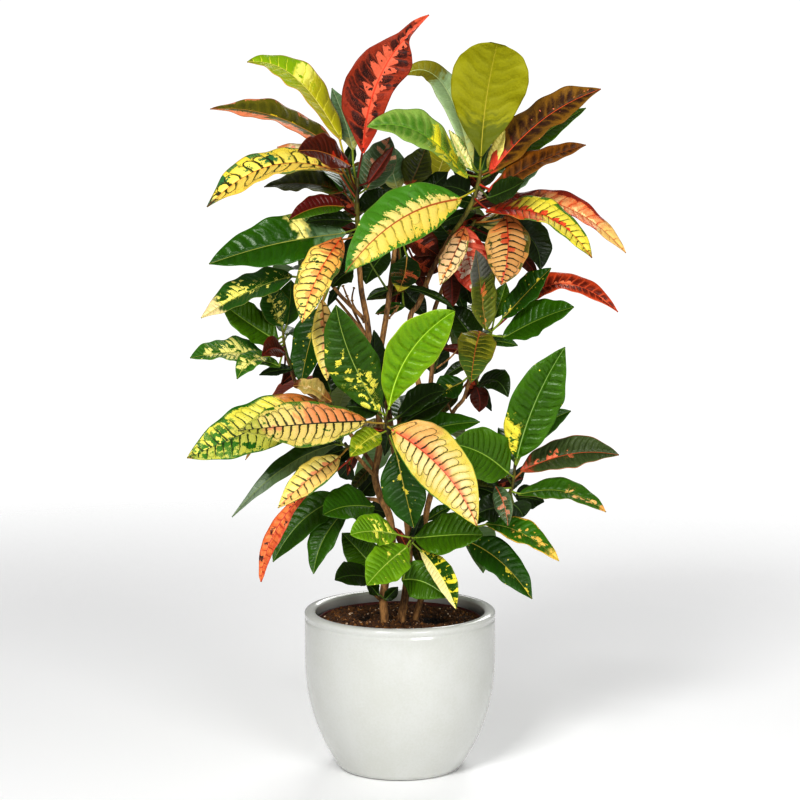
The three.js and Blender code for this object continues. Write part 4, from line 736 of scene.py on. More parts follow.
def crumbTree():
    tree, given = newTree("scatterCrumbs", crumbs)
    bed = given["Geometry"]
    top = put(tree, "GeometryNodeInputNamedAttribute", {"Name": "isTop"}, data_type="FLOAT")["Attribute"]
    top = put(tree, "FunctionNodeCompare", {0: top, 1: .5}, operation="GREATER_THAN")
    ball = put(tree, "GeometryNodeMeshIcoSphere", {"Radius": 1., "Subdivisions": 1})

    def randomVector(low, high, seed):
        inputs = {"Min": (low,) * 3, "Max": (high,) * 3, "Seed": seed}
        return put(tree, "FunctionNodeRandomValue", inputs, data_type="FLOAT_VECTOR")["Value"]

    parts = [bed]
    for kind, shift, pale, low, high in (("", 0, 0., .35, 1.5), ("Pale ", 5, 1., .25, 1.2)):
        seed = given["Seed"] + shift
        spots = put(tree, "GeometryNodeDistributePointsOnFaces", {
            "Mesh": bed, "Selection": top, "Density": given[kind + "Density"], "Seed": seed})
        copies = put(tree, "GeometryNodeInstanceOnPoints", {
            "Points": spots, "Instance": ball, "Rotation": randomVector(0, 6.28, seed),
            "Scale": resize(randomVector(low, high, seed), given[kind + "Size"] * .5)})
        tone = put(tree, "FunctionNodeRandomValue", {2: pale, 3: pale + .9, "Seed": seed}, data_type="FLOAT")[1]
        copies = put(tree, "GeometryNodeStoreNamedAttribute", {
            "Geometry": copies, "Name": "crumbTone", "Value": tone}, data_type="FLOAT", domain="INSTANCE")
        parts.insert(0, put(tree, "GeometryNodeRealizeInstances", {"Geometry": copies}))
    return endTree(tree, given, parts)


def applyTree(owner, tree, values):
    # the tree's result on an object as a plain mesh, with named inputs set by their identifiers
    modifier = owner.modifiers.new("nodes", "NODES")
    modifier.node_group = tree
    for item in tree.interface.items_tree:
        if item.item_type == "SOCKET" and item.in_out == "INPUT" and item.name in values:
            modifier[item.identifier] = values[item.name]
    owner.update_tag()
    bpy.context.view_layer.update()
    result = owner.evaluated_get(bpy.context.evaluated_depsgraph_get())
    mesh = bpy.data.meshes.new_from_object(result)
    owner.modifiers.remove(modifier)
    bpy.data.objects.remove(owner)
    return mesh


def earthMaterial():
    # crumbs have a tone of their own: 0 to 1 for brown ones, above 1 for pale ones
    material, shader, grain = grainMaterial("pottingMix", earthLook)
    tree = grain.tree
    tone = put(tree, "ShaderNodeAttribute", attribute_name="crumbTone")["Fac"]
    brown = blend(ease(tone, .2, .9), grain["colour"], tint("6a4216"))
    tan = blend(ease(tone, .8, .92), brown, tint("9c6c34"))
    pale = blend(ease(tone, 1.35, 1.8), tint("b08458"), tint("e2cdb4"))
    height = splitAxes(objectSpot(tree))["Z"]
    # painted shade: from 2.5 mm under the soil's top the colour darkens to near black, full at 11 mm, so the hollows
    # look shaded
    lit = ease(height, *((soilBed["top"] - soilBed[key]) * mm for key in ("darkBelow", "litBelow")))
    feed(shader, {"Base Color": blend(lit, tint("0c0704"), blend(tone > .95, tan, pale))})
    return material


def makeSoil():
    s = SimpleNamespace(**soilBed)
    edge = insideRadius(s.top - s.edgeDrop) - s.clear
    rings, sides = s.rings, s.sides
    angle = np.arange(sides) * 2 * math.pi / sides
    share = np.linspace(1, 1 / rings, rings)[:, None]
    x, y = (np.append((edge * share * part).ravel(), 0) for part in (np.cos(angle), np.sin(angle)))
    reach = np.hypot(x, y) / edge
    broad = np.sin(x / s.broadMound + 1) * np.cos(y / s.broadMound)
    small = np.sin((x - y) / s.smallMound)
    lumps = np.sin(x * .9 + 2 * np.sin(y * .4)) * np.sin(y * .8 + 1.5 * np.sin(x * .5))
    rise = s.unevenness * (2 * broad + small) / 3 + s.lumps * lumps * (1 - reach ** 6)
    for column, row, wide, deep in s.hollows:
        at = footOf((column, row)) / mm
        rise -= deep * np.exp(-((x - at.x) ** 2 + ((y - at.y) / s.longHollow) ** 2) / wide ** 2)
    z = s.top - s.edgeDrop * np.clip((reach - .8) / .2, 0, 1) ** 2 + rise
    top = np.stack([x, y, np.minimum(z, s.top + s.unevenness)], 1) * mm
    foot = insideRadius(s.foot) - s.clear
    low = np.stack([foot * np.cos(angle), foot * np.sin(angle), np.full(sides, s.foot)], 1) * mm
    points = np.concatenate([top, low, [[0, 0, s.foot * mm]]])
    last, centre, below, under = (rings - 1) * sides, rings * sides, rings * sides + 1, len(points) - 1
    around = [(j, (j + 1) % sides) for j in range(sides)]
    faces = [(i + j, i + k, i + sides + k, i + sides + j) for i in range(0, last, sides) for j, k in around]
    for j, k in around:
        faces += [(last + j, last + k, centre), (below + j, below + k, k, j), (below + k, below + j, under)]
    bed = bpy.data.meshes.new("soil_bed")
    bed.from_pydata(points.tolist(), [], faces)
    isTop = np.append(np.ones(centre + 1), np.zeros(sides + 1)).astype(np.float32)
    bed.attributes.new("isTop", "FLOAT", "POINT").data.foreach_set("value", isTop)
    mesh = applyTree(addObject("soil_bed", bed), crumbTree(), {**crumbs, "Material": earthMaterial()})
    mesh.name = "soil_surface"
    newPiece("soil_surface", mesh, ["soil"])


makeSoil()
print("the soil is laid")

# ---- stems
stemLook = {
    "bark": {"Sides": 14, "Step": .0035, "Unevenness": .0007, "Scar Spacing": .011, "Scar Size": .0021},
    "shoot": {"Sides": 12, "Step": .003, "Unevenness": .0003, "Scar Spacing": .007, "Scar Size": .0016},
}
stemForm = {
    "grainScale": 160., "grainDetail": 3., "scarShape": (.35, 1., .55), "scarTurn": 2.4, "scarSeat": .97,
    "pathSteps": 4, "rootDepth": 55,
}
barkLook = {
    "dark": "54361a", "light": "bc8e58", "scale": 90., "stretch": .35, "fine": 5., "share": .5,
    "roughness": (.6, .85), "bump": .7, "depth": .8,
}
shootLook = {
    "dark": "241404", "light": "7a7420", "scale": 70., "stretch": .5, "fine": 5., "share": .35,
    "roughness": (.4, .6), "bump": .4, "depth": .4,
}


def stemTree():
    # a tube along each spline, with the scars of fallen leaves winding round it
    tree, given = newTree("grownStem", stemLook["bark"])
    f = SimpleNamespace(**stemForm)

    def everyLength(key):
        return put(tree, "GeometryNodeResampleCurve", {"Curve": given["Geometry"], "Length": given[key]}, mode="LENGTH")

    ring = put(tree, "GeometryNodeCurvePrimitiveCircle", {"Resolution": given["Sides"], "Radius": 1.})
    radius = put(tree, "GeometryNodeInputRadius")
    skin = put(tree, "GeometryNodeCurveToMesh", {
        "Curve": everyLength("Step"), "Profile Curve": ring["Curve"], "Fill Caps": True, "Scale": radius})
    grain = put(tree, "ShaderNodeTexNoise", {"Scale": f.grainScale, "Detail": f.grainDetail})
    lift = resize(put(tree, "GeometryNodeInputNormal"), (grain - .5) * given["Unevenness"])
    rough = put(tree, "GeometryNodeSetPosition", {"Geometry": skin, "Offset": lift})

    tangent = put(tree, "GeometryNodeInputTangent")
    along = put(tree, "FunctionNodeAlignRotationToVector", {"Vector": tangent}, axis="Z")
    turn = joinAxes(0, 0, put(tree, "GeometryNodeInputIndex") * f.scarTurn)
    turn = put(tree, "FunctionNodeEulerToRotation", {0: turn})
    wound = put(tree, "FunctionNodeRotateRotation", {0: along, 1: turn}, rotation_space="LOCAL")
    ball = put(tree, "GeometryNodeMeshUVSphere", {"Segments": 10, "Rings": 6, "Radius": 1.})
    shape = resize(f.scarShape, given["Scar Size"])
    scars = put(tree, "GeometryNodeInstanceOnPoints", {
        "Points": everyLength("Scar Spacing"), "Instance": ball, "Rotation": wound, "Scale": shape})
    out = joinAxes(radius * f.scarSeat, 0, 0)
    reach = put(tree, "ShaderNodeVectorMath", {0: out, 1: shape}, operation="DIVIDE")
    scars = put(tree, "GeometryNodeTranslateInstances", {
        "Instances": scars, "Translation": reach, "Local Space": True})
    return endTree(tree, given, [scars, rough])


def roundPath(path, radii):
    # extra points between the given ones, on a smooth curve through them
    points, sizes, steps = [], [], stemForm["pathSteps"]
    for i in range(len(path) - 1):
        a, b = path[max(i - 1, 0)], path[i]
        c, d = path[i + 1], path[min(i + 2, len(path) - 1)]
        for k in range(steps):
            t = k / steps
            place = 2 * b + (c - a) * t + (2 * a - 5 * b + 4 * c - d) * t * t
            place += (3 * b - a - 3 * c + d) * t ** 3
            points.append(place / 2)
            sizes.append(radii[i] + (radii[i + 1] - radii[i]) * t)
    return points + [path[-1]], sizes + [radii[-1]]


def stemMesh(name, lines, look, material):
    # one mesh of several stems, each a path in metres with its radii
    curve = bpy.data.curves.new(name, "CURVE")
    curve.dimensions = "3D"
    for path, radii in lines:
        points, sizes = roundPath(path, radii)
        spline = curve.splines.new("POLY")
        spline.points.add(len(points) - 1)
        spline.points.foreach_set("co", [v for p in points for v in (*p, 1)])
        spline.points.foreach_set("radius", sizes)
    mesh = applyTree(addObject(name, curve), grownStem, {**stemLook[look], "Material": material})
    mesh.shade_smooth()
    return mesh


grownStem = stemTree()
barkMaterial = grainMaterial("bark", barkLook)[0]
shootMaterial = grainMaterial("youngStem", shootLook)[0]

# ---- leaves and branches, each a path of points that the camera sees: column, row and depth in mm
# a trunk: the column and row of its foot, its radii in mm at the root, at the first leaf and at the tip, its path
trunkPaths = """
trunk_left: 385 622  4.9 2.9 2.5  383 604 -6  385 584 -4  390 560 -2  392 538 0  389 515 0  380 496 -2
 375 475 -6  379 452 -8  380 430 -10  377 400 -8  372 365 -6  370 345 -6  367 320 -5  363 300 -5  361 287 -5
trunk_middle: 401 623  4.9 2.7 1.7  405 598 -10  408 572 -8  409 548 -4  408 525 0  404 500 4  400 480 6
 396 460 10  391 430 14  387 400 18  382 370 20  381 350 20  384 330 22  388 305 25  391 280 27  393 265 28
trunk_right: 415 620.5  3.6 2.8 2.6  420.5 601 3  424 580 5  425 555 6  424 530 6  428 505 8  434 480 12
 434 450 16  428 420 18  420 390 16  413 355 14  410 318 14  418 305 14  424 290 14  432 270 15
"""
# a twig: points with a radius in mm each
twigPaths = """
trunk_left: 330 292 2 .9  340 303 2 1.5  352 318 0 1.8  361 329 -3 2  370 342 -6 2
trunk_left: 343 286 12 .8  349 301 10 1.2  359 322 4 1.5  371 344 -5 1.7
trunk_left: 354 288 14 .7  352 298 12 1  354 306 8 1  364 322 0 1.3
trunk_middle: 378 314 34 .6  390 309 32 .9  399 306 30 1  389 318 24 1.1
trunk_right: 437 368 18 1.2  450 358 14 1  458 349 12 .8
trunk_right: 452 413 3 1.2  446 398 10 1  448 380 14 .8
trunk_middle: 405 500 5 1.4  413 485 16 1.2  424 470 24 .9
"""
# a shoot: the trunk it grows on and, where it has a branch of its own, that branch's radii and path. Then its
# green stem and its leaves. A leaf in view: look, share of the green stem, base, tip, width in mm, roll in
# degrees, bow of its middle and what else sets it apart; sides are share, left half and right half. A leaf at
# the back: look, share, turn, rise, length and width. An inner leaf: base, length in pixels and turn.
shootTable = """
leaves_top_left: trunk_left
green: 359 262 -6  358 235 -8  357 205 -10  357 178 -12
maroon: .99  363 153 -16  429 15 -34  63 14  -15 -8 -8 sides 0 1.2 1.2  .06 8 7.5  .12 14.5 12  .24 30 17
 .33 34 18.5  .42 36 19.5  .52 33 23  .61 28 26  .68 20 24  .74 14 16  .785 10 6  .82 9 3.2  .9 7.5 2.2
 .96 4 1.2  1 .5 .5
limeVeined: .9  341 140 -8  247 62 8  52 52  3 -26 0
greyGreen: .94  353 150 10  332 88 30  32 40  2 0 0 fold 0
oliveRimmed: .84  334 147 22  210 109 48  48 55  2 -15 0
maroonDark: .86  350 166 -34  298 151 -92  42 35  0 -6 0 fold 12
yellowVeined: .76  343 174 -18  207 207 -30  48 50  -4 -28 0 sides 0 1.2 1.2  .1 8 9  .25 16 20  .4 26 26
 .55 34 27  .7 31 24  .82 20 17  .92 9 8  1 .5 .5
bronze: .66  346 192 10  264 187 34  50 56  0 -9 0
creamPink: .8  350 172 14  277 147 44  30 45  0 -6 0
redGreen: .56  344 207 -24  289 220 -66  28 20  0 -6 0 fold 24
deepBanded: .42  346 233 -22  209 264 -58  60 24  0 -7 0
orangeYellow: .34  341 238 -32  302 323 -92  46 22  -5 -6 -8 fold 10
darkRed: .93  367 184 -4  393 147 2  17 -30  0 0 0
greyStriped: .82  366 190 8  390 137 36  42 -15  0 0 0
darkGreen: .5  352 221 -12  306 222 -30  24 30  0 -3 0
darkGreen: .62  364 212 8  389 190 30  34 -10  0 0 0
darkGreen: .25  353 271 -24  332 287 -38  26 20  0 -4 0
darkGreen: .25  388 290 -22  367 299 -27  10 20  0 -2 0
deepGreen: .6 110 34 115 46
spotted: .35 125 -10 115 46
inner: 350 157 14 30 75  344 203 22 36 150  350 216 30 34 200  364 203 24 34 60  343 229 24 38 170
 348 252 20 36 250  333 297 -6 22 240  372 175 30 40 50
leaves_top_right: trunk_right
green: 452 235 10  470 207 3  478 185 0  480 170 -2
oliveYellow: .99  481 157 -6  497.5 43.5 -20  86 0  -3 0 12 fold 6 sides 0 1.2 1.2  .106 10 10  .24 22 23
 .36 31 31.5  .5 39 38  .62 42 42  .73 42 43  .835 37 40  .925 28 31  .977 18 20  1 5 6
archGreen: .88  467 178 -14  367 127 -62  52 42  5 -22 -6
oliveCurl: .93  472 168 8  402 76 44  34 30  6 -40 8
creamGreen: .97  472 170 -22  449 130 -44  20 40  0 0 0
bronzeCoral: .9  490 174 4  601 89 8  58 -45  -6 -13 0
freshGreen: .82  495 172 22  586 108 50  36 -40  0 -6 0
brownRed: .72  488 192 -10  586 145 -26  40 -52  0 -8 -4
paleYellow: .95  488 170 14  505 130 10  17 -30  0 0 0
greyGreen: .75  492 194 14  541 163 40  32 -40  0 0 0
darkGreen: .66  487 198 -26  524 181 -62  30 -30  0 0 0 fold 10
creamHero: .62  461 199 -16  345 273 -96  64 12  -3 -18 -8
redYellow: .5  486 212 -18  592 258 -62  46 -48  7 -22 0
darkGreen: .7  468 193 16  443 186 34  36 15  0 -3 0
deepGreen: .6 72 40 120 48
orangeYellow: .35 60 5 115 46
inner: 458 171 40 34 120  473 181 30 30 140  489 179 30 32 40  465 204 34 38 170  488 204 26 34 10
 457 219 40 40 200  496 196 40 44 30
leaves_upper_middle: trunk_middle
green: 396 240 36  401 215 46  404 196 52
bronze: .98  409 186 50  426 146 58  38 -25  0 0 0
darkGreen: .9  415 200 44  448 172 40  30 -30  0 0 0
coralDark: .4  407 237 34  439 256 30  38 -30  0 -3 0 fold 10
darkGreen: .2  389 250 20  366 284 -6  34 25  -3 -3 0
coralPatched: .3  407 256 20  398 292 -14  34 5  2 0 0
coralDark: .35  412 258 26  438 272 24  34 -30  0 0 0
greyGreen: .95  398 190 58  384 140 74  34 10  0 0 0
darkGreen: .25  403 287 0  455 310 -12  12 -42  2 -5 0
darkGreen: .28  401 287 44  426 316 46  28 -15  0 -2 0
spotted: .7 120 20 110 44
inner: 403 248 40 40 250  397 300 40 34 250  385 295 30 38 195  390 310 32 30 195  420 281 34 36 300
 380 225 50 44 140  425 222 50 44 30
leaves_upper_inner: trunk_right 2.6 2.3 1.6  427 415 18  432 370 22  434 335 26  434 312 28  440 295 30
 446 280 32
green: 456 255 36  466 235 36  476 220 34
peachPanelled: .7  465 228 4  440 285 -34  28 25  0 0 -4
coralPink: .8  463 226 8  480 297 -12  44 10  -3 0 -4 fold 10
orangeRibbed: .95  506 216 6  501 285 -40  50 10  4 0 -10
coralRed: .99  510 198 24  626 253 8  44 -52  5 -18 0
darkGreen: .9  506 226 30  540 270 38  44 -25  11 -8 0
darkRed: .2  451 273 16  452 308 2  22 20  0 0 0
darkGreen: .2  460 264 34  471 304 32  28 -10  0 0 0
darkGreen: .4  454 240 44  432 213 66  36 15  0 0 0
spotted: .6 30 10 100 42
yellowVeined: .8 75 5 110 44
inner: 480 236 44 44 340  465 224 52 40 200  442 246 50 36 240  461 302 36 30 290  527 265 44 36 310
 490 262 50 44 300
leaves_right_middle: trunk_right 2.3 1.9 1.4  434 452 16  445 427 8  455 409 0  463 400 -3  467 389 -4
green: 472 376 -3  481 360 0  489 342 4  492 328 6
greySpotted: .94  486 330 -6  476 250 -40  40 38  2 0 8
redVeined: .97  512 313 14  618 312 -2  34 -48  -3 -31 0
spotted: .95  503 318 -4  551 268 -16  36 -42  0 -3 0
deepGreen: .86  503 338 -10  574 307 -36  48 -42  -1 -5 0
oliveStriped: .9  480 332 -22  471 383 -98  45 0  -1 -3 -6 fold 24
darkGreen: .75  476 342 2  447 305 24  38 25  2 0 0
freshGreen: .92  494 318 10  506 283 16  24 -20  0 0 0
darkGreen: .12  477 386 -14  508 397 -50  32 -34  2 -13 -4
darkRed: .2  476 386 4  479 412 -6  22 10  2 0 0 fold 10
spotted: .15  463 382 2  438 397 -8  34 30  -2 -2 0
spotted: .6 105 5 110 44
inner: 457 370 20 34 210  472 383 14 34 250  449 404 14 30 230  503 343 20 30 350  462 352 26 40 170
 484 398 10 30 300
leaves_left_middle: trunk_left 2.4 1.9 1.4  376 470 -6  352 436 12  325 405 20  298 385 20  290 366 12
green: 286 352 8  284 343 5  283 330 4
freshGreen: .8  278 341 -6  221 302 -26  46 36  -1 -1 0
brownUnder: .6  277 346 12  227 315 34  28 130  0 0 0 fold 4
mosaicGreen: .45  266 355 -14  190 358 -36  48 56  0 -7 0
mosaicGreen: .3  268 357 -22  237 379 -60  26 30  -2 -7 0 fold 12
darkRed: .35  284 352 -20  262 356 -70  26 15  0 -6 0 fold 14
freshGreen: .3  280 367 -8  253 363 -22  15 40  0 -4 0
yellowBarred: .98  282 326 2  267 284 -6  38 30  0 0 0
deepGreen: .9  287 325 10  291 280 22  34 -20  0 0 0
deepGreen: .6 80 5 105 44
inner: 276 372 4 34 190  296 372 24 38 40  300 350 30 40 70
leaves_left_inner: trunk_left 2.3 1.9 1.5  367 322 -5  351 306 -10  341 296 -16
green: 332 285 -22  323 276 -26
yellowBarred: .95  292 276 -24  201 318 -44  52 48  2 -9 0
peach: .5  322 300 -36  327 381 -66  28 12  0 0 -6 fold 10
spotted: .2  320 308 -12  301 384 -20  42 25  -3 0 0
deepGreen: .7 130 5 100 40
leaves_left_lower: trunk_left 2.2 2 1.4  338 419 17  334 411 6
green: 332 405 -2  328 399 -9
yellowHero: .7  318 402 -24  187 458 -58  63 22  0 -2 0
crumpled: .95  331 402 -34  293 386 -44  34 28  -2 -6 -6 fold 30 wave 1.6 round 1.6 sides 0 1.2 1.2  .12 9 6
 .3 15 12  .45 9 13  .6 14 8  .78 8 9  .9 5 3  1 .5 .5
darkGreen: .8  331 392 2  322 358 6  34 15  0 0 0
orangeYellow: .9 165 -25 100 42
leaves_centre: trunk_middle 3 2.4 1.8  396 462 10  395 452 -10  392 443 -28
green: 390 437 -38  387 428 -47  385 415 -52
splashedGreen: .95  379 411 -54  336 305 -100  56 -8  -7 0 -4
darkGreen: .9  382 404 -44  374 330 -50  34 40  0 0 4
lime: .98  389 409 -72  455 311 -122  54 8  -13 -5 -6 full .58 round 2
roseHero: .6  392 430 -62  477 526 -134  66 0  8 -8 -8 sides 0 1.2 1.2  .03 10 6  .1 24 15  .2 32 22  .33 34 28
 .47 32 29  .6 29 27  .72 23 22  .84 14 15  .93 7 8  1 .5 .5
orangeHero: .7  366 421 -66  238 431 -118  56 24  0 -3 -4 sides 0 1.2 1.2  .05 8 9  .155 17 17  .31 26 21.5
 .47 29 25  .6 27 26  .74 19 22  .84 11 13.5  .93 5 6  1 .5 .5
yellowCurl: .4  380 434 -54  350 457 -92  30 20  0 -4 0 fold 14
darkGreen: .75  399 417 -46  446 391 -56  34 -42  0 -8 0
darkGreen: .5  402 424 -40  450 400 -34  32 -35  0 -4 0
deepGreen: .2  404 438 -34  480 422 -22  34 -38  0 -5 0
spotted: .25  396 452 -44  414 528 -58  50 10  -1 0 -10
darkGreen: .8  378 413 -46  346 407 -54  28 20  0 -3 0
inner: 387 441 -30 30 260  368 436 -30 34 200  408 408 -24 40 60  412 440 -20 40 330
leaves_lower_left: trunk_left 2.4 2.1 1.5  375 476 -6  367 468 -12  361 461 -17
green: 356 456 -21  350 450 -25  345 443 -28
greyTwist: .9  338 444 -20  232 517 -22  38 38  0 -15 0 round 2.2 sides 0 1.2 1.2  .12 9 9  .3 16 15  .5 17 15
 .68 12 9  .8 7 5  .9 4.5 2.5  1 .5 .5
peach: .7  340 457 -36  278 508 -78  34 16  2 -6 -4 fold 10
coralPanelled: .1  315 487 -34  261 582 -64  26 20  -12 -6 0 fold 10 sides 0 1.2 1.2  .12 3.5 3.5  .3 7 6
 .45 11 8  .6 12 8.5  .75 8 7  .87 5 4  .95 3 3  1 .5 .5
darkGreen: .4  349 464 -6  340 477 6  30 15  0 0 0
darkGreen: .8  344 449 -8  324 455 4  24 25  0 0 0
deepGreen: .6 125 5 100 42
inner: 347 455 -4 30 220  352 463 -10 26 250  360 480 10 30 230
leaves_low_left: trunk_left 2.4 2.1 1.5  384 504 -1  376 500 4  369 499 9
green: 362 499 13  354 500 16  347 502 17
deepGreen: .95  341 498 14  273 562 -14  44 26  -5 -11 0
deepGreen: .7  347 509 4  313.5 574 -24  33 26  -7 -4 -2
deepGreen: .3  374 507 -14  323 515 -62  50 36  0 -7 0
darkGreen: .4  361 494 24  377 476 34  28 10  0 0 0
darkGreen: .25  368 508 26  389 513 38  24 -10  0 0 0
spotted: .6 140 -10 110 44
leaves_low_middle: trunk_middle 3 2.5 1.8  408 550 -4  410 547 -14
green: 411 544 -22  411 537 -28
freshGreen: .9  415 538 -32  483 535 -70  50 -30  0 -3 -4
splashedLime: .7  407 547 -34  366.6 585.5 -96  46 8  0 -3 -6
splashedLime: .95  396 534 -32  350 535 -72  42 36  0 -5 -4
halfYellow: .4  421 551 -30  456 609 -82  42 6  3 -3 -4 fold 14 sides 0 1.2 1.2  .1 7 5  .3 14 9  .5 17 9.5
 .7 14 8  .88 7 4.5  1 .5 .5
freshGreen: .45  402 580 -38  448 598 -60  46 -16  -2 -8 0
inner: 417 531 -8 34 70  401 539 -16 26 120  417 554 -10 30 290  440 513 10 30 30
leaves_lower_right: trunk_right 2.8 2.2 1.6  424 538 6  438 524 3  458 515 -3  480 514 -9  497 505 -12
green: 507 498 -13  512 488 -14  514 476 -15  515 464 -16
quiltedGreen: .97  517 458 -22  565 347 -52  58 8  -5 0 -6
deepGreen: .9  524 447 4  571 411 22  28 -20  -3 -5 0
bronzeSpotted: .6  521 471 -12  619 455 -28  46 -42  0 -11 0
squiggled: .25  518 495 -20  606 512 -46  34 -48  2 -14 0
darkGreen: .3  516 498 2  544 502 8  32 -30  0 -3 0
darkGreen: .25  513 504 -16  523 517 -10  30 0  2 0 0
darkGreen: .22  502 507 -28  477 514 -26  34 10  0 -2 0
freshGreen: .65  508 473 -26  451 444 -70  58 10  4 -5 -4 round 1.4
greyStriped: .35  496 487 -24  508 526 -52  22 15  2 -2 -4 fold 14
darkGreen: .2  498 496 2  474 488 10  30 25  0 -3 0
deepGreen: .75 85 28 110 46
splashedGreen: .45 105 0 110 46
inner: 518 478 4 30 60  507 484 8 34 200  480 482 10 44 170  479 520 4 34 200
leaves_low_right: trunk_right 2.2 2 1.5  460 515 -4  465 520 -13
green: 469 524 -19  473 527 -24
yellowRimmed: .95  486 524 -26  559 561 -52  35 -42  0 -11 0
spotted: .5  467 541 -20  532 599 -48  41 -24  2 -9 -2
deepGreen: .6 80 -26 100 42
leaves_base_left: trunk_left 2 1.8 1.4  384 601 -6  378 598 -9
green: 374 593 -10  373 585 -8  374 577 -4
darkGreen: .9  371 578 -12  335 580 -46  34 36  0 -5 0
freshGreen: .97  376 570 2  342 533 16  38 10  1 0 0
darkGreen: .2  378 595 -18  367 586 -34  16 20  0 -3 0
darkGreen: .15  385 600 -26  398 587 -28  14 10  0 0 0
leaves_back_upper: trunk_middle 2.7 2.3 1.6  391 284 27  398 262 50  410 242 72
green: 420 226 88  428 211 100  432 197 106
limeVeined: .95 70 45 120 50
deepGreen: .9 20 25 115 46
bronzeCoral: .8 160 30 120 46
yellowVeined: .6 110 10 130 50
splashedGreen: .4 50 -5 120 46
redYellow: .2 165 -12 105 44
leaves_back_middle: trunk_right 2.4 2.1 1.5  414 360 14  425 357 38  434 353 58
green: 440 349 74  446 342 88  450 333 96
darkGreen: .2  434 374 104  438 333 112  34 12  0 0 0
splashedGreen: .95 60 20 110 46
orangeYellow: .8 110 5 120 46
deepGreen: .5 72 14 105 44
spotted: .2 128 -15 90 40
leaves_back_left: trunk_left 2.4 2.1 1.5  374 386 -7  366 390 24  360 390 46
green: 356 387 62  352 381 76  350 373 84
creamHero: .95 120 20 110 46
deepGreen: .75 80 5 120 46
redVeined: .5 150 -5 110 44
splashedGreen: .2 105 -20 100 42
leaves_back_lower: trunk_middle 2.8 2.4 1.6  399 474 7  402 466 34  404 459 56
green: 405 452 72  405 443 86  404 433 94
deepGreen: .95 95 25 120 50
splashedGreen: .85 50 0 115 48
roseHero: .75 150 5 120 48
quiltedGreen: .5 75 -15 130 50
deepGreen: .3 120 -20 110 44
spotted: .1 25 -12 100 42
"""
leafForm = {
    "alongStep": 2.3, "acrossStep": 2.1, "halfThickness": .25, "tipHalfWidth": .5, "petioleRadius": 1.15,
    "keelFold": 10, "waveHeight": .11, "waveTurns": 11, "waveOffset": 2.1, "phaseStep": 2.4,
    "veinSpacing": (5.4, 14), "veinSlant": .3, "veinCurl": .008,
    "quilt": .2, "ruffle": .045, "uneven": .05, "ribHeight": .8, "ribWidth": 1.3, "crease": .5, "spread": 11,
    "swayTurns": 12, "swayShift": 1.7, "sideTurns": 25, "ruffleTurns": 31, "ruffleShift": 2.3, "ruffleOffset": 4,
    "calmEnds": 8, "veinShift": .37, "veinWander": .05, "panelPower": 1.3, "keelDrop": .8, "ribTaper": .8,
    "stalkThin": .4, "stalkTaper": 14, "creaseWidth": 1.6, "frontRib": .12,
    "rowLimits": (14, 74), "columnLimits": (4, 16), "rowBunching": .4,
    "petioleRows": 7, "petioleSides": 10, "petioleSwell": 1.15, "petioleWaist": .25, "petioleSag": .05, "seat": .97,
    "usual": {"full": .45, "round": 1.7, "fold": 8, "roll": 0, "bow": (0, 0, 0), "wave": 1},
}
backLeaf = {"petiole": 16, "lift": 4, "reach": .92, "droop": .3}
innerLooks = ["darkGreen", "coralDark", "bronze", "deepGreen", "darkRed", "darkGreen"]
innerForm = {"roll": 30, "bow": .06, "forward": 6, "smallUnder": 32, "smallWidth": .5, "width": .42}
yellowShoots = ("leaves_left_lower", "leaves_centre", "leaves_top_right")


def inSets(words, size):
    return list(zip(*[map(float, words)] * size))


def readLeaf(look, words):
    # five numbers are a leaf at the back, and more are one in view
    if len(words) == 5:
        return {"look": look, **dict(zip(("at", "turn", "rise", "long", "wide"), map(float, words)))}
    at, *places, wide, roll = map(float, words[:9])
    leaf = {"look": look, "at": at, "base": places[:3], "tip": places[3:], "wide": wide, "roll": roll,
            "bow": [float(word) for word in words[9:12]]}
    words = words[12:]
    if "sides" in words:
        start = words.index("sides")
        leaf["sides"] = inSets(words[start + 1:], 3)
        words = words[:start]
    leaf.update({key: float(value) for key, value in zip(words[::2], words[1::2])})
    return leaf


def innerLeaf(place, number):
    # a small leaf deep in the plant: column, row, depth, length in pixels and turn in the picture
    column, row, depth, long, turn = place
    f = SimpleNamespace(**innerForm)
    x, y = (long / 2 * part(math.radians(turn)) for part in (math.cos, math.sin))
    return {
        "look": innerLooks[number % len(innerLooks)], "at": None,
        "base": (column - x, row + y, depth), "tip": (column + x, row - y, depth + f.forward),
        "bow": (0, -long * f.bow, 0), "wide": long * (f.smallWidth if long < f.smallUnder else f.width),
        "roll": f.roll * (-1) ** number,
    }


def readShoots():
    shoots = {}
    for name, words in readRows(shootTable):
        if name.startswith("leaves_"):
            thick = [float(word) for word in words[1:4]]
            shoot = {"trunk": words[0], "thick": thick, "wood": inSets(words[4:], 3), "leaves": []}
            shoots[name] = shoot
        elif name == "green":
            shoot["green"] = inSets(words, 3)
        elif name == "inner":
            shoot["leaves"] += [innerLeaf(place, i) for i, place in enumerate(inSets(words, 5))]
        else:
            shoot["leaves"].append(readLeaf(name, words))
    return shoots


def alongGreen(path, joint, share):
    place = joint + share * (len(path) - 1 - joint)
    before = min(int(place), len(path) - 2)
    return path[before].lerp(path[before + 1], place - before)


def nearest(path, joint, target):
    # the share along the green stem that lies nearest to a point
    shares = [i / 10 for i in range(1, 11)]
    return min(shares, key=lambda share: (alongGreen(path, joint, share) - target).length)


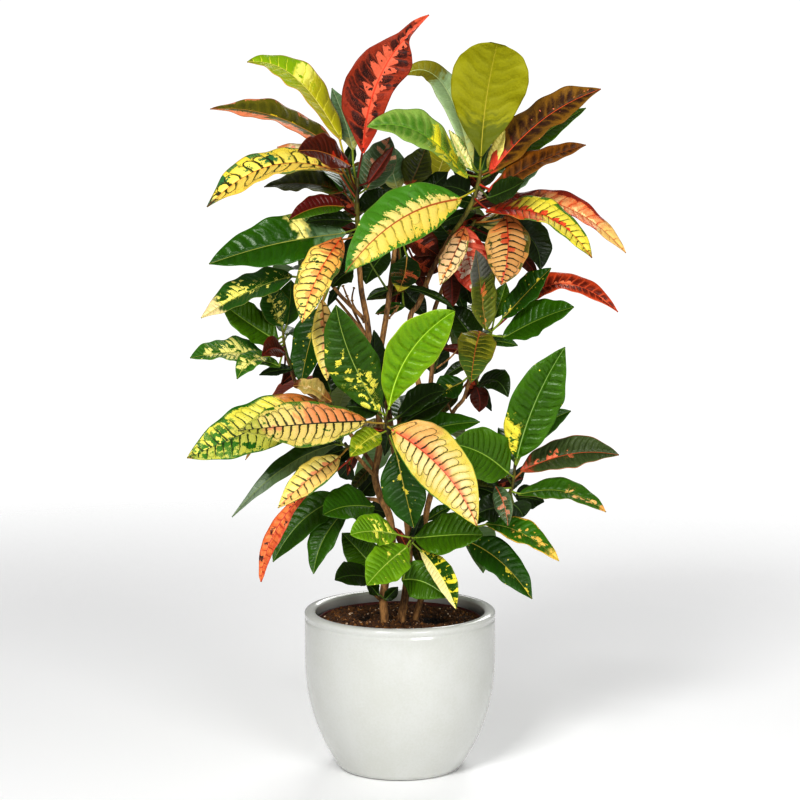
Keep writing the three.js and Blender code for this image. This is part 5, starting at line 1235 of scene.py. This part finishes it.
def leafPlan(leaf, root, number):
    # where a leaf lies: its midrib from base to tip through its middle, and the way that it faces
    plan = {**leafForm["usual"], **leaf, "phase": number * leafForm["phaseStep"], "root": root}
    facing = towardView
    if "turn" in leaf:
        turn, rise = math.radians(leaf["turn"]), math.radians(leaf["rise"])
        heading = Vector((math.cos(turn) * math.cos(rise), math.sin(turn) * math.cos(rise), math.sin(rise)))
        long = leaf["long"] * mm
        base = root + heading * backLeaf["petiole"] * mm + Vector((0, 0, backLeaf["lift"] * mm))
        tip = base + heading * long * backLeaf["reach"] - Vector((0, 0, long * backLeaf["droop"]))
        plan.update(base=base, middle=base + heading * long / 2, tip=tip)
        facing = Vector((0, 0, 1))
    else:
        middle = [(a + b) / 2 + c for a, b, c in zip(leaf["base"], leaf["tip"], plan["bow"])]
        plan.update(base=seen(leaf["base"]), middle=seen(middle), tip=seen(leaf["tip"]))
    travel = (plan["tip"] - plan["base"]).normalized()
    normal = (facing - travel * facing.dot(travel)).normalized()
    spin = math.radians(plan["roll"])
    plan["normal"] = normal * math.cos(spin) + travel.cross(normal) * math.sin(spin)
    return plan


def midrib(plan, share):
    base, middle, tip = (np.array(plan[k])[None, :] for k in ("base", "middle", "tip"))
    s = np.asarray(share)[:, None]
    return base * (1 - s) * (1 - 2 * s) + middle * 4 * s * (1 - s) + tip * s * (2 * s - 1)


def halfWidths(plan, share, c):
    # how wide each half of the leaf is, in mm; sides lists share, left half and right half
    if "sides" in plan:
        at, left, right = (np.array(column) for column in zip(*plan["sides"]))
        fine = np.linspace(0, 1, 201)
        soft = np.hanning(11) / np.hanning(11).sum()
        halves = []
        for column in (left, right):
            smooth = np.convolve(np.pad(np.interp(fine, at, column), 5, "edge"), soft, "valid")
            halves.append(np.interp(share, fine, smooth)[:, None])
        return np.where(c > 0, *halves)
    full, roundness = plan["full"], plan["round"]
    rising = (share / full) ** (roundness * full)
    falling = ((1 - share) / (1 - full)) ** (roundness * (1 - full))
    return np.repeat((plan["wide"] / 2 * rising * falling)[:, None], len(c), 1)


def unit(vectors):
    return vectors / np.linalg.norm(vectors, axis=-1, keepdims=True)


def gridFaces(rows, cols):
    # quads between rows of points, closed round each row
    i, j = np.meshgrid(np.arange(rows), np.arange(cols), indexing="ij")
    a, b = i * cols + j, i * cols + (j + 1) % cols
    return np.stack([a, b, b + cols, a + cols], -1).reshape(-1, 4)


def bladeMesh(plan, seed):
    # one closed blade as arrays: points, faces and its three attributes
    f = SimpleNamespace(**leafForm)
    long = (plan["tip"] - plan["base"]).length / mm
    rows = int(np.clip(long / f.alongStep, *f.rowLimits))
    halfCols = int(np.clip(plan["wide"] / 2 / f.acrossStep, *f.columnLimits))
    even = np.linspace(0, 1, rows + 1)
    share = even * (1 - f.rowBunching) + (1 - np.cos(math.pi * even)) * f.rowBunching / 2
    c = np.linspace(1, -1, 2 * halfCols + 1)
    centre = midrib(plan, share)
    travel = unit(midrib(plan, share + .01) - midrib(plan, share - .01))
    facing = np.array(plan["normal"])[None, :]
    up = unit(facing - travel * (facing * travel).sum(1, keepdims=True))
    across = np.cross(up, travel)
    least = np.where(share == 0, f.petioleRadius, f.tipHalfWidth)[:, None]
    sway = np.sin(f.swayTurns * share + f.swayShift * seed)[:, None]
    sway = sway + np.sin(f.sideTurns * share + seed)[:, None] * np.sign(c)[None, :]
    half = np.maximum(halfWidths(plan, share, c) * (1 + f.uneven * sway / 2 * ("sides" not in plan)), least)
    isKeel = plan["fold"] > f.keelFold
    angle = math.radians(plan["fold"] if isKeel else f.spread * plan["fold"] / 8)
    d = np.abs(c)[None, :]
    s = share[:, None]
    isLeft = (c > 0)[None, :]
    still = np.prod([np.sin(math.pi * np.clip(end * f.calmEnds, 0, .5)) for end in (s, 1 - s)], 0)
    wave = f.waveHeight * half * np.sin(f.waveTurns * s + plan["phase"] + f.waveOffset * isLeft) * d ** 1.5
    wave += f.ruffle * half * np.sin(f.ruffleTurns * s + f.ruffleShift * seed + f.ruffleOffset * isLeft) * d ** 3

    # side veins: one count more at each vein, so panels and relief share it
    alongMm, acrossMm = s * long, d * half
    spacing = float(np.clip(long / looks[plan["look"]]["veins"], *f.veinSpacing))
    slant = f.veinSlant * acrossMm + f.veinCurl * acrossMm ** 2
    count = (alongMm - slant) / spacing + seed * f.veinShift
    count = count + f.veinWander * np.sin(acrossMm / 3 + seed) * np.clip(acrossMm / 4, 0, 1)
    panel = np.abs(np.sin(math.pi * (count + .5 * isLeft))) ** f.panelPower
    quilt = f.quilt * panel * np.clip(acrossMm / 3, 0, 1) * np.clip((1 - d ** 3) * 1.3, 0, 1)
    keel = math.sin(angle) * half * (d - f.keelDrop * (not isKeel))
    crease = f.crease * np.exp(-(acrossMm / f.creaseWidth) ** 2)
    raised = keel * still ** .5 + (wave * plan["wave"] + quilt - crease) * still
    rib = np.exp(-(acrossMm / f.ribWidth) ** 2) * f.ribHeight * (1 - f.ribTaper * s)
    stalk = (f.petioleRadius - f.stalkThin) * np.clip(1 - s * f.stalkTaper, 0, 1)
    side = half * c[None, :] * math.cos(angle)
    sheets = []
    for face, grow in ((1, f.frontRib), (-1, 1.)):
        lift = raised + face * (f.halfThickness + rib * grow + stalk)
        away = across[:, None, :] * side[..., None] + up[:, None, :] * lift[..., None]
        sheets.append(centre[:, None, :] + away * mm)

    def aroundRows(top, below=None):
        return np.concatenate([top, (top if below is None else below)[:, ::-1]], 1)

    points = aroundRows(*sheets).reshape(-1, 3)
    cols = 2 * len(c)
    full = np.ones_like(half)
    place = [aroundRows(part * full).ravel() for part in (s, c[None, :], count)]
    size = [aroundRows(part * full).ravel() / 10 for part in (alongMm, c[None, :] * half, half)]
    kind = [np.full(len(points), seed), aroundRows(0 * full, full).ravel(), np.full(len(points), spacing / 10)]
    caps = []
    for row, step in ((0, -1), (rows, 1)):
        for k in range(cols // 2 - 1):
            caps.append([row * cols + v for v in (k, k + 1, cols - 2 - k, cols - 1 - k)][::step])
    faces = np.concatenate([gridFaces(rows, cols), np.array(caps)[:, ::-1]])
    return points, faces, [np.stack(part, 1) for part in (place, size, kind)]


def petioleMesh(plan, seed):
    f = SimpleNamespace(**leafForm)
    start, end = np.array(plan["root"]), midrib(plan, [.03])[0]
    travel = unit(end - start)
    side = unit(np.cross(travel, np.array(plan["normal"])))
    other = np.cross(travel, side)
    rows, cols = f.petioleRows, f.petioleSides
    t = np.linspace(0, 1, rows)[:, None]
    lift = np.array(plan["normal"])[None, :] * (-f.petioleSag * np.sin(math.pi * t) * np.linalg.norm(end - start))
    centre = start[None, :] * (1 - t) + end[None, :] * t + lift
    angle = np.arange(cols) * 2 * math.pi / cols
    around = np.cos(angle)[:, None] * side[None, :] + np.sin(angle)[:, None] * other[None, :]
    radius = f.petioleRadius * mm * (f.petioleSwell - f.petioleWaist * np.sin(math.pi * t))
    points = (centre[:, None, :] + around[None, :, :] * radius[..., None]).reshape(-1, 3)
    caps = []
    last = (rows - 1) * cols
    for k in range(1, cols - 2, 2):
        caps += [[0, k + 2, k + 1, k], [last, last + k, last + k + 1, last + k + 2]]
    flat = np.zeros((len(points), 3))
    faces = np.concatenate([gridFaces(rows - 1, cols), np.array(caps)])
    return points, faces, [flat - (1, 0, 0), flat, flat + (seed, 0, 0)]


def outward(points, faces):
    # the same faces, turned over if their normals point in
    a, b, c, d = (points[faces[:, k]] for k in range(4))
    volume = (np.cross(a, b) * c).sum() + (np.cross(a, c) * d).sum()
    return faces if volume > 0 else faces[:, ::-1]


def joinParts(name, parts):
    # one mesh from (points, faces, attributes, look)
    points = np.concatenate([p[0] for p in parts])
    starts = np.cumsum([0] + [len(p[0]) for p in parts[:-1]])
    faces = np.concatenate([outward(p[0], p[1]) + start for p, start in zip(parts, starts)])
    used = list(dict.fromkeys(p[3] for p in parts))
    indices = np.concatenate([np.full(len(p[1]), used.index(p[3])) for p in parts])
    mesh = bpy.data.meshes.new(name)
    mesh.vertices.add(len(points))
    mesh.loops.add(len(faces) * 4)
    mesh.polygons.add(len(faces))
    for look in used:
        mesh.materials.append(leafMaterials[look])
    mesh.vertices.foreach_set("co", points.astype(np.float32).ravel())
    mesh.loops.foreach_set("vertex_index", faces.astype(np.int32).ravel())
    mesh.polygons.foreach_set("loop_start", np.arange(len(faces), dtype=np.int32) * 4)
    mesh.polygons.foreach_set("material_index", indices.astype(np.int32))
    for k, key in enumerate(("leafPlace", "leafSize", "leafKind")):
        values = np.concatenate([p[2][k] for p in parts]).astype(np.float32).ravel()
        mesh.attributes.new(key, "FLOAT_VECTOR", "POINT").data.foreach_set("vector", values)
    mesh.update(calc_edges=True)
    mesh.validate()
    mesh.shade_smooth()
    return mesh


def joinMeshes(name, meshes):
    owners = [addObject(name, mesh) for mesh in meshes]
    with bpy.context.temp_override(active_object=owners[0], selected_editable_objects=owners,
                                   selected_objects=owners, object=owners[0]):
        bpy.ops.object.join()
    mesh = owners[0].data
    bpy.data.objects.remove(owners[0])
    return mesh


def makeShoots():
    mainWood, mainThick, woodLines = {}, {}, {}
    for name, words in readRows(trunkPaths):
        foot = footOf([float(word) for word in words[:2]])
        root = Vector((foot.x, foot.y, (soilBed["top"] - stemForm["rootDepth"]) * mm))
        mainThick[name] = [float(word) for word in words[2:5]]
        mainWood[name] = [root, foot, *[seen(p) for p in inSets(words[5:], 3)]]
        woodLines[name] = []
    seed = 0
    for name, shoot in readShoots().items():
        wood = [seen(p) for p in shoot["wood"]] or mainWood[shoot["trunk"]]
        thick = shoot["thick"] or mainThick[shoot["trunk"]]
        path = [*wood, *[seen(p) for p in shoot["green"]]]
        joint = len(wood)
        radii = [np.interp(i, [0, joint, len(path) - 1], thick) * mm for i in range(len(path))]
        woodLines[shoot["trunk"]].append((path[:joint + 1], radii[:joint + 1]))
        parts = []
        for number, leaf in enumerate(shoot["leaves"]):
            if leaf["at"] is None:
                leaf["at"] = nearest(path, joint, seen(leaf["base"]))
            seed += 1
            plan = leafPlan(leaf, alongGreen(path, joint, leaf["at"] * leafForm["seat"]), number)
            parts += [(*make(plan, seed), leaf["look"]) for make in (bladeMesh, petioleMesh)]
        stem = stemMesh(name + "_stem", [(path[joint:], radii[joint:])], "shoot", shootMaterial)
        mesh = joinMeshes(name, [joinParts(name, parts), stem])
        slot = "foliage_yellow" if name in yellowShoots else "foliage"
        newPiece(name.replace("leaves", "shoot"), mesh, [name])
    for name, words in readRows(twigPaths):
        twig = inSets(words, 4)
        woodLines[name].append(([seen(p[:3]) for p in twig], [p[3] * mm for p in twig]))
    for name, lines in woodLines.items():
        newPiece(name + "_bark", stemMesh(name, lines, "bark", barkMaterial), [name])


makeShoots()
print("stems and leaves are grown")
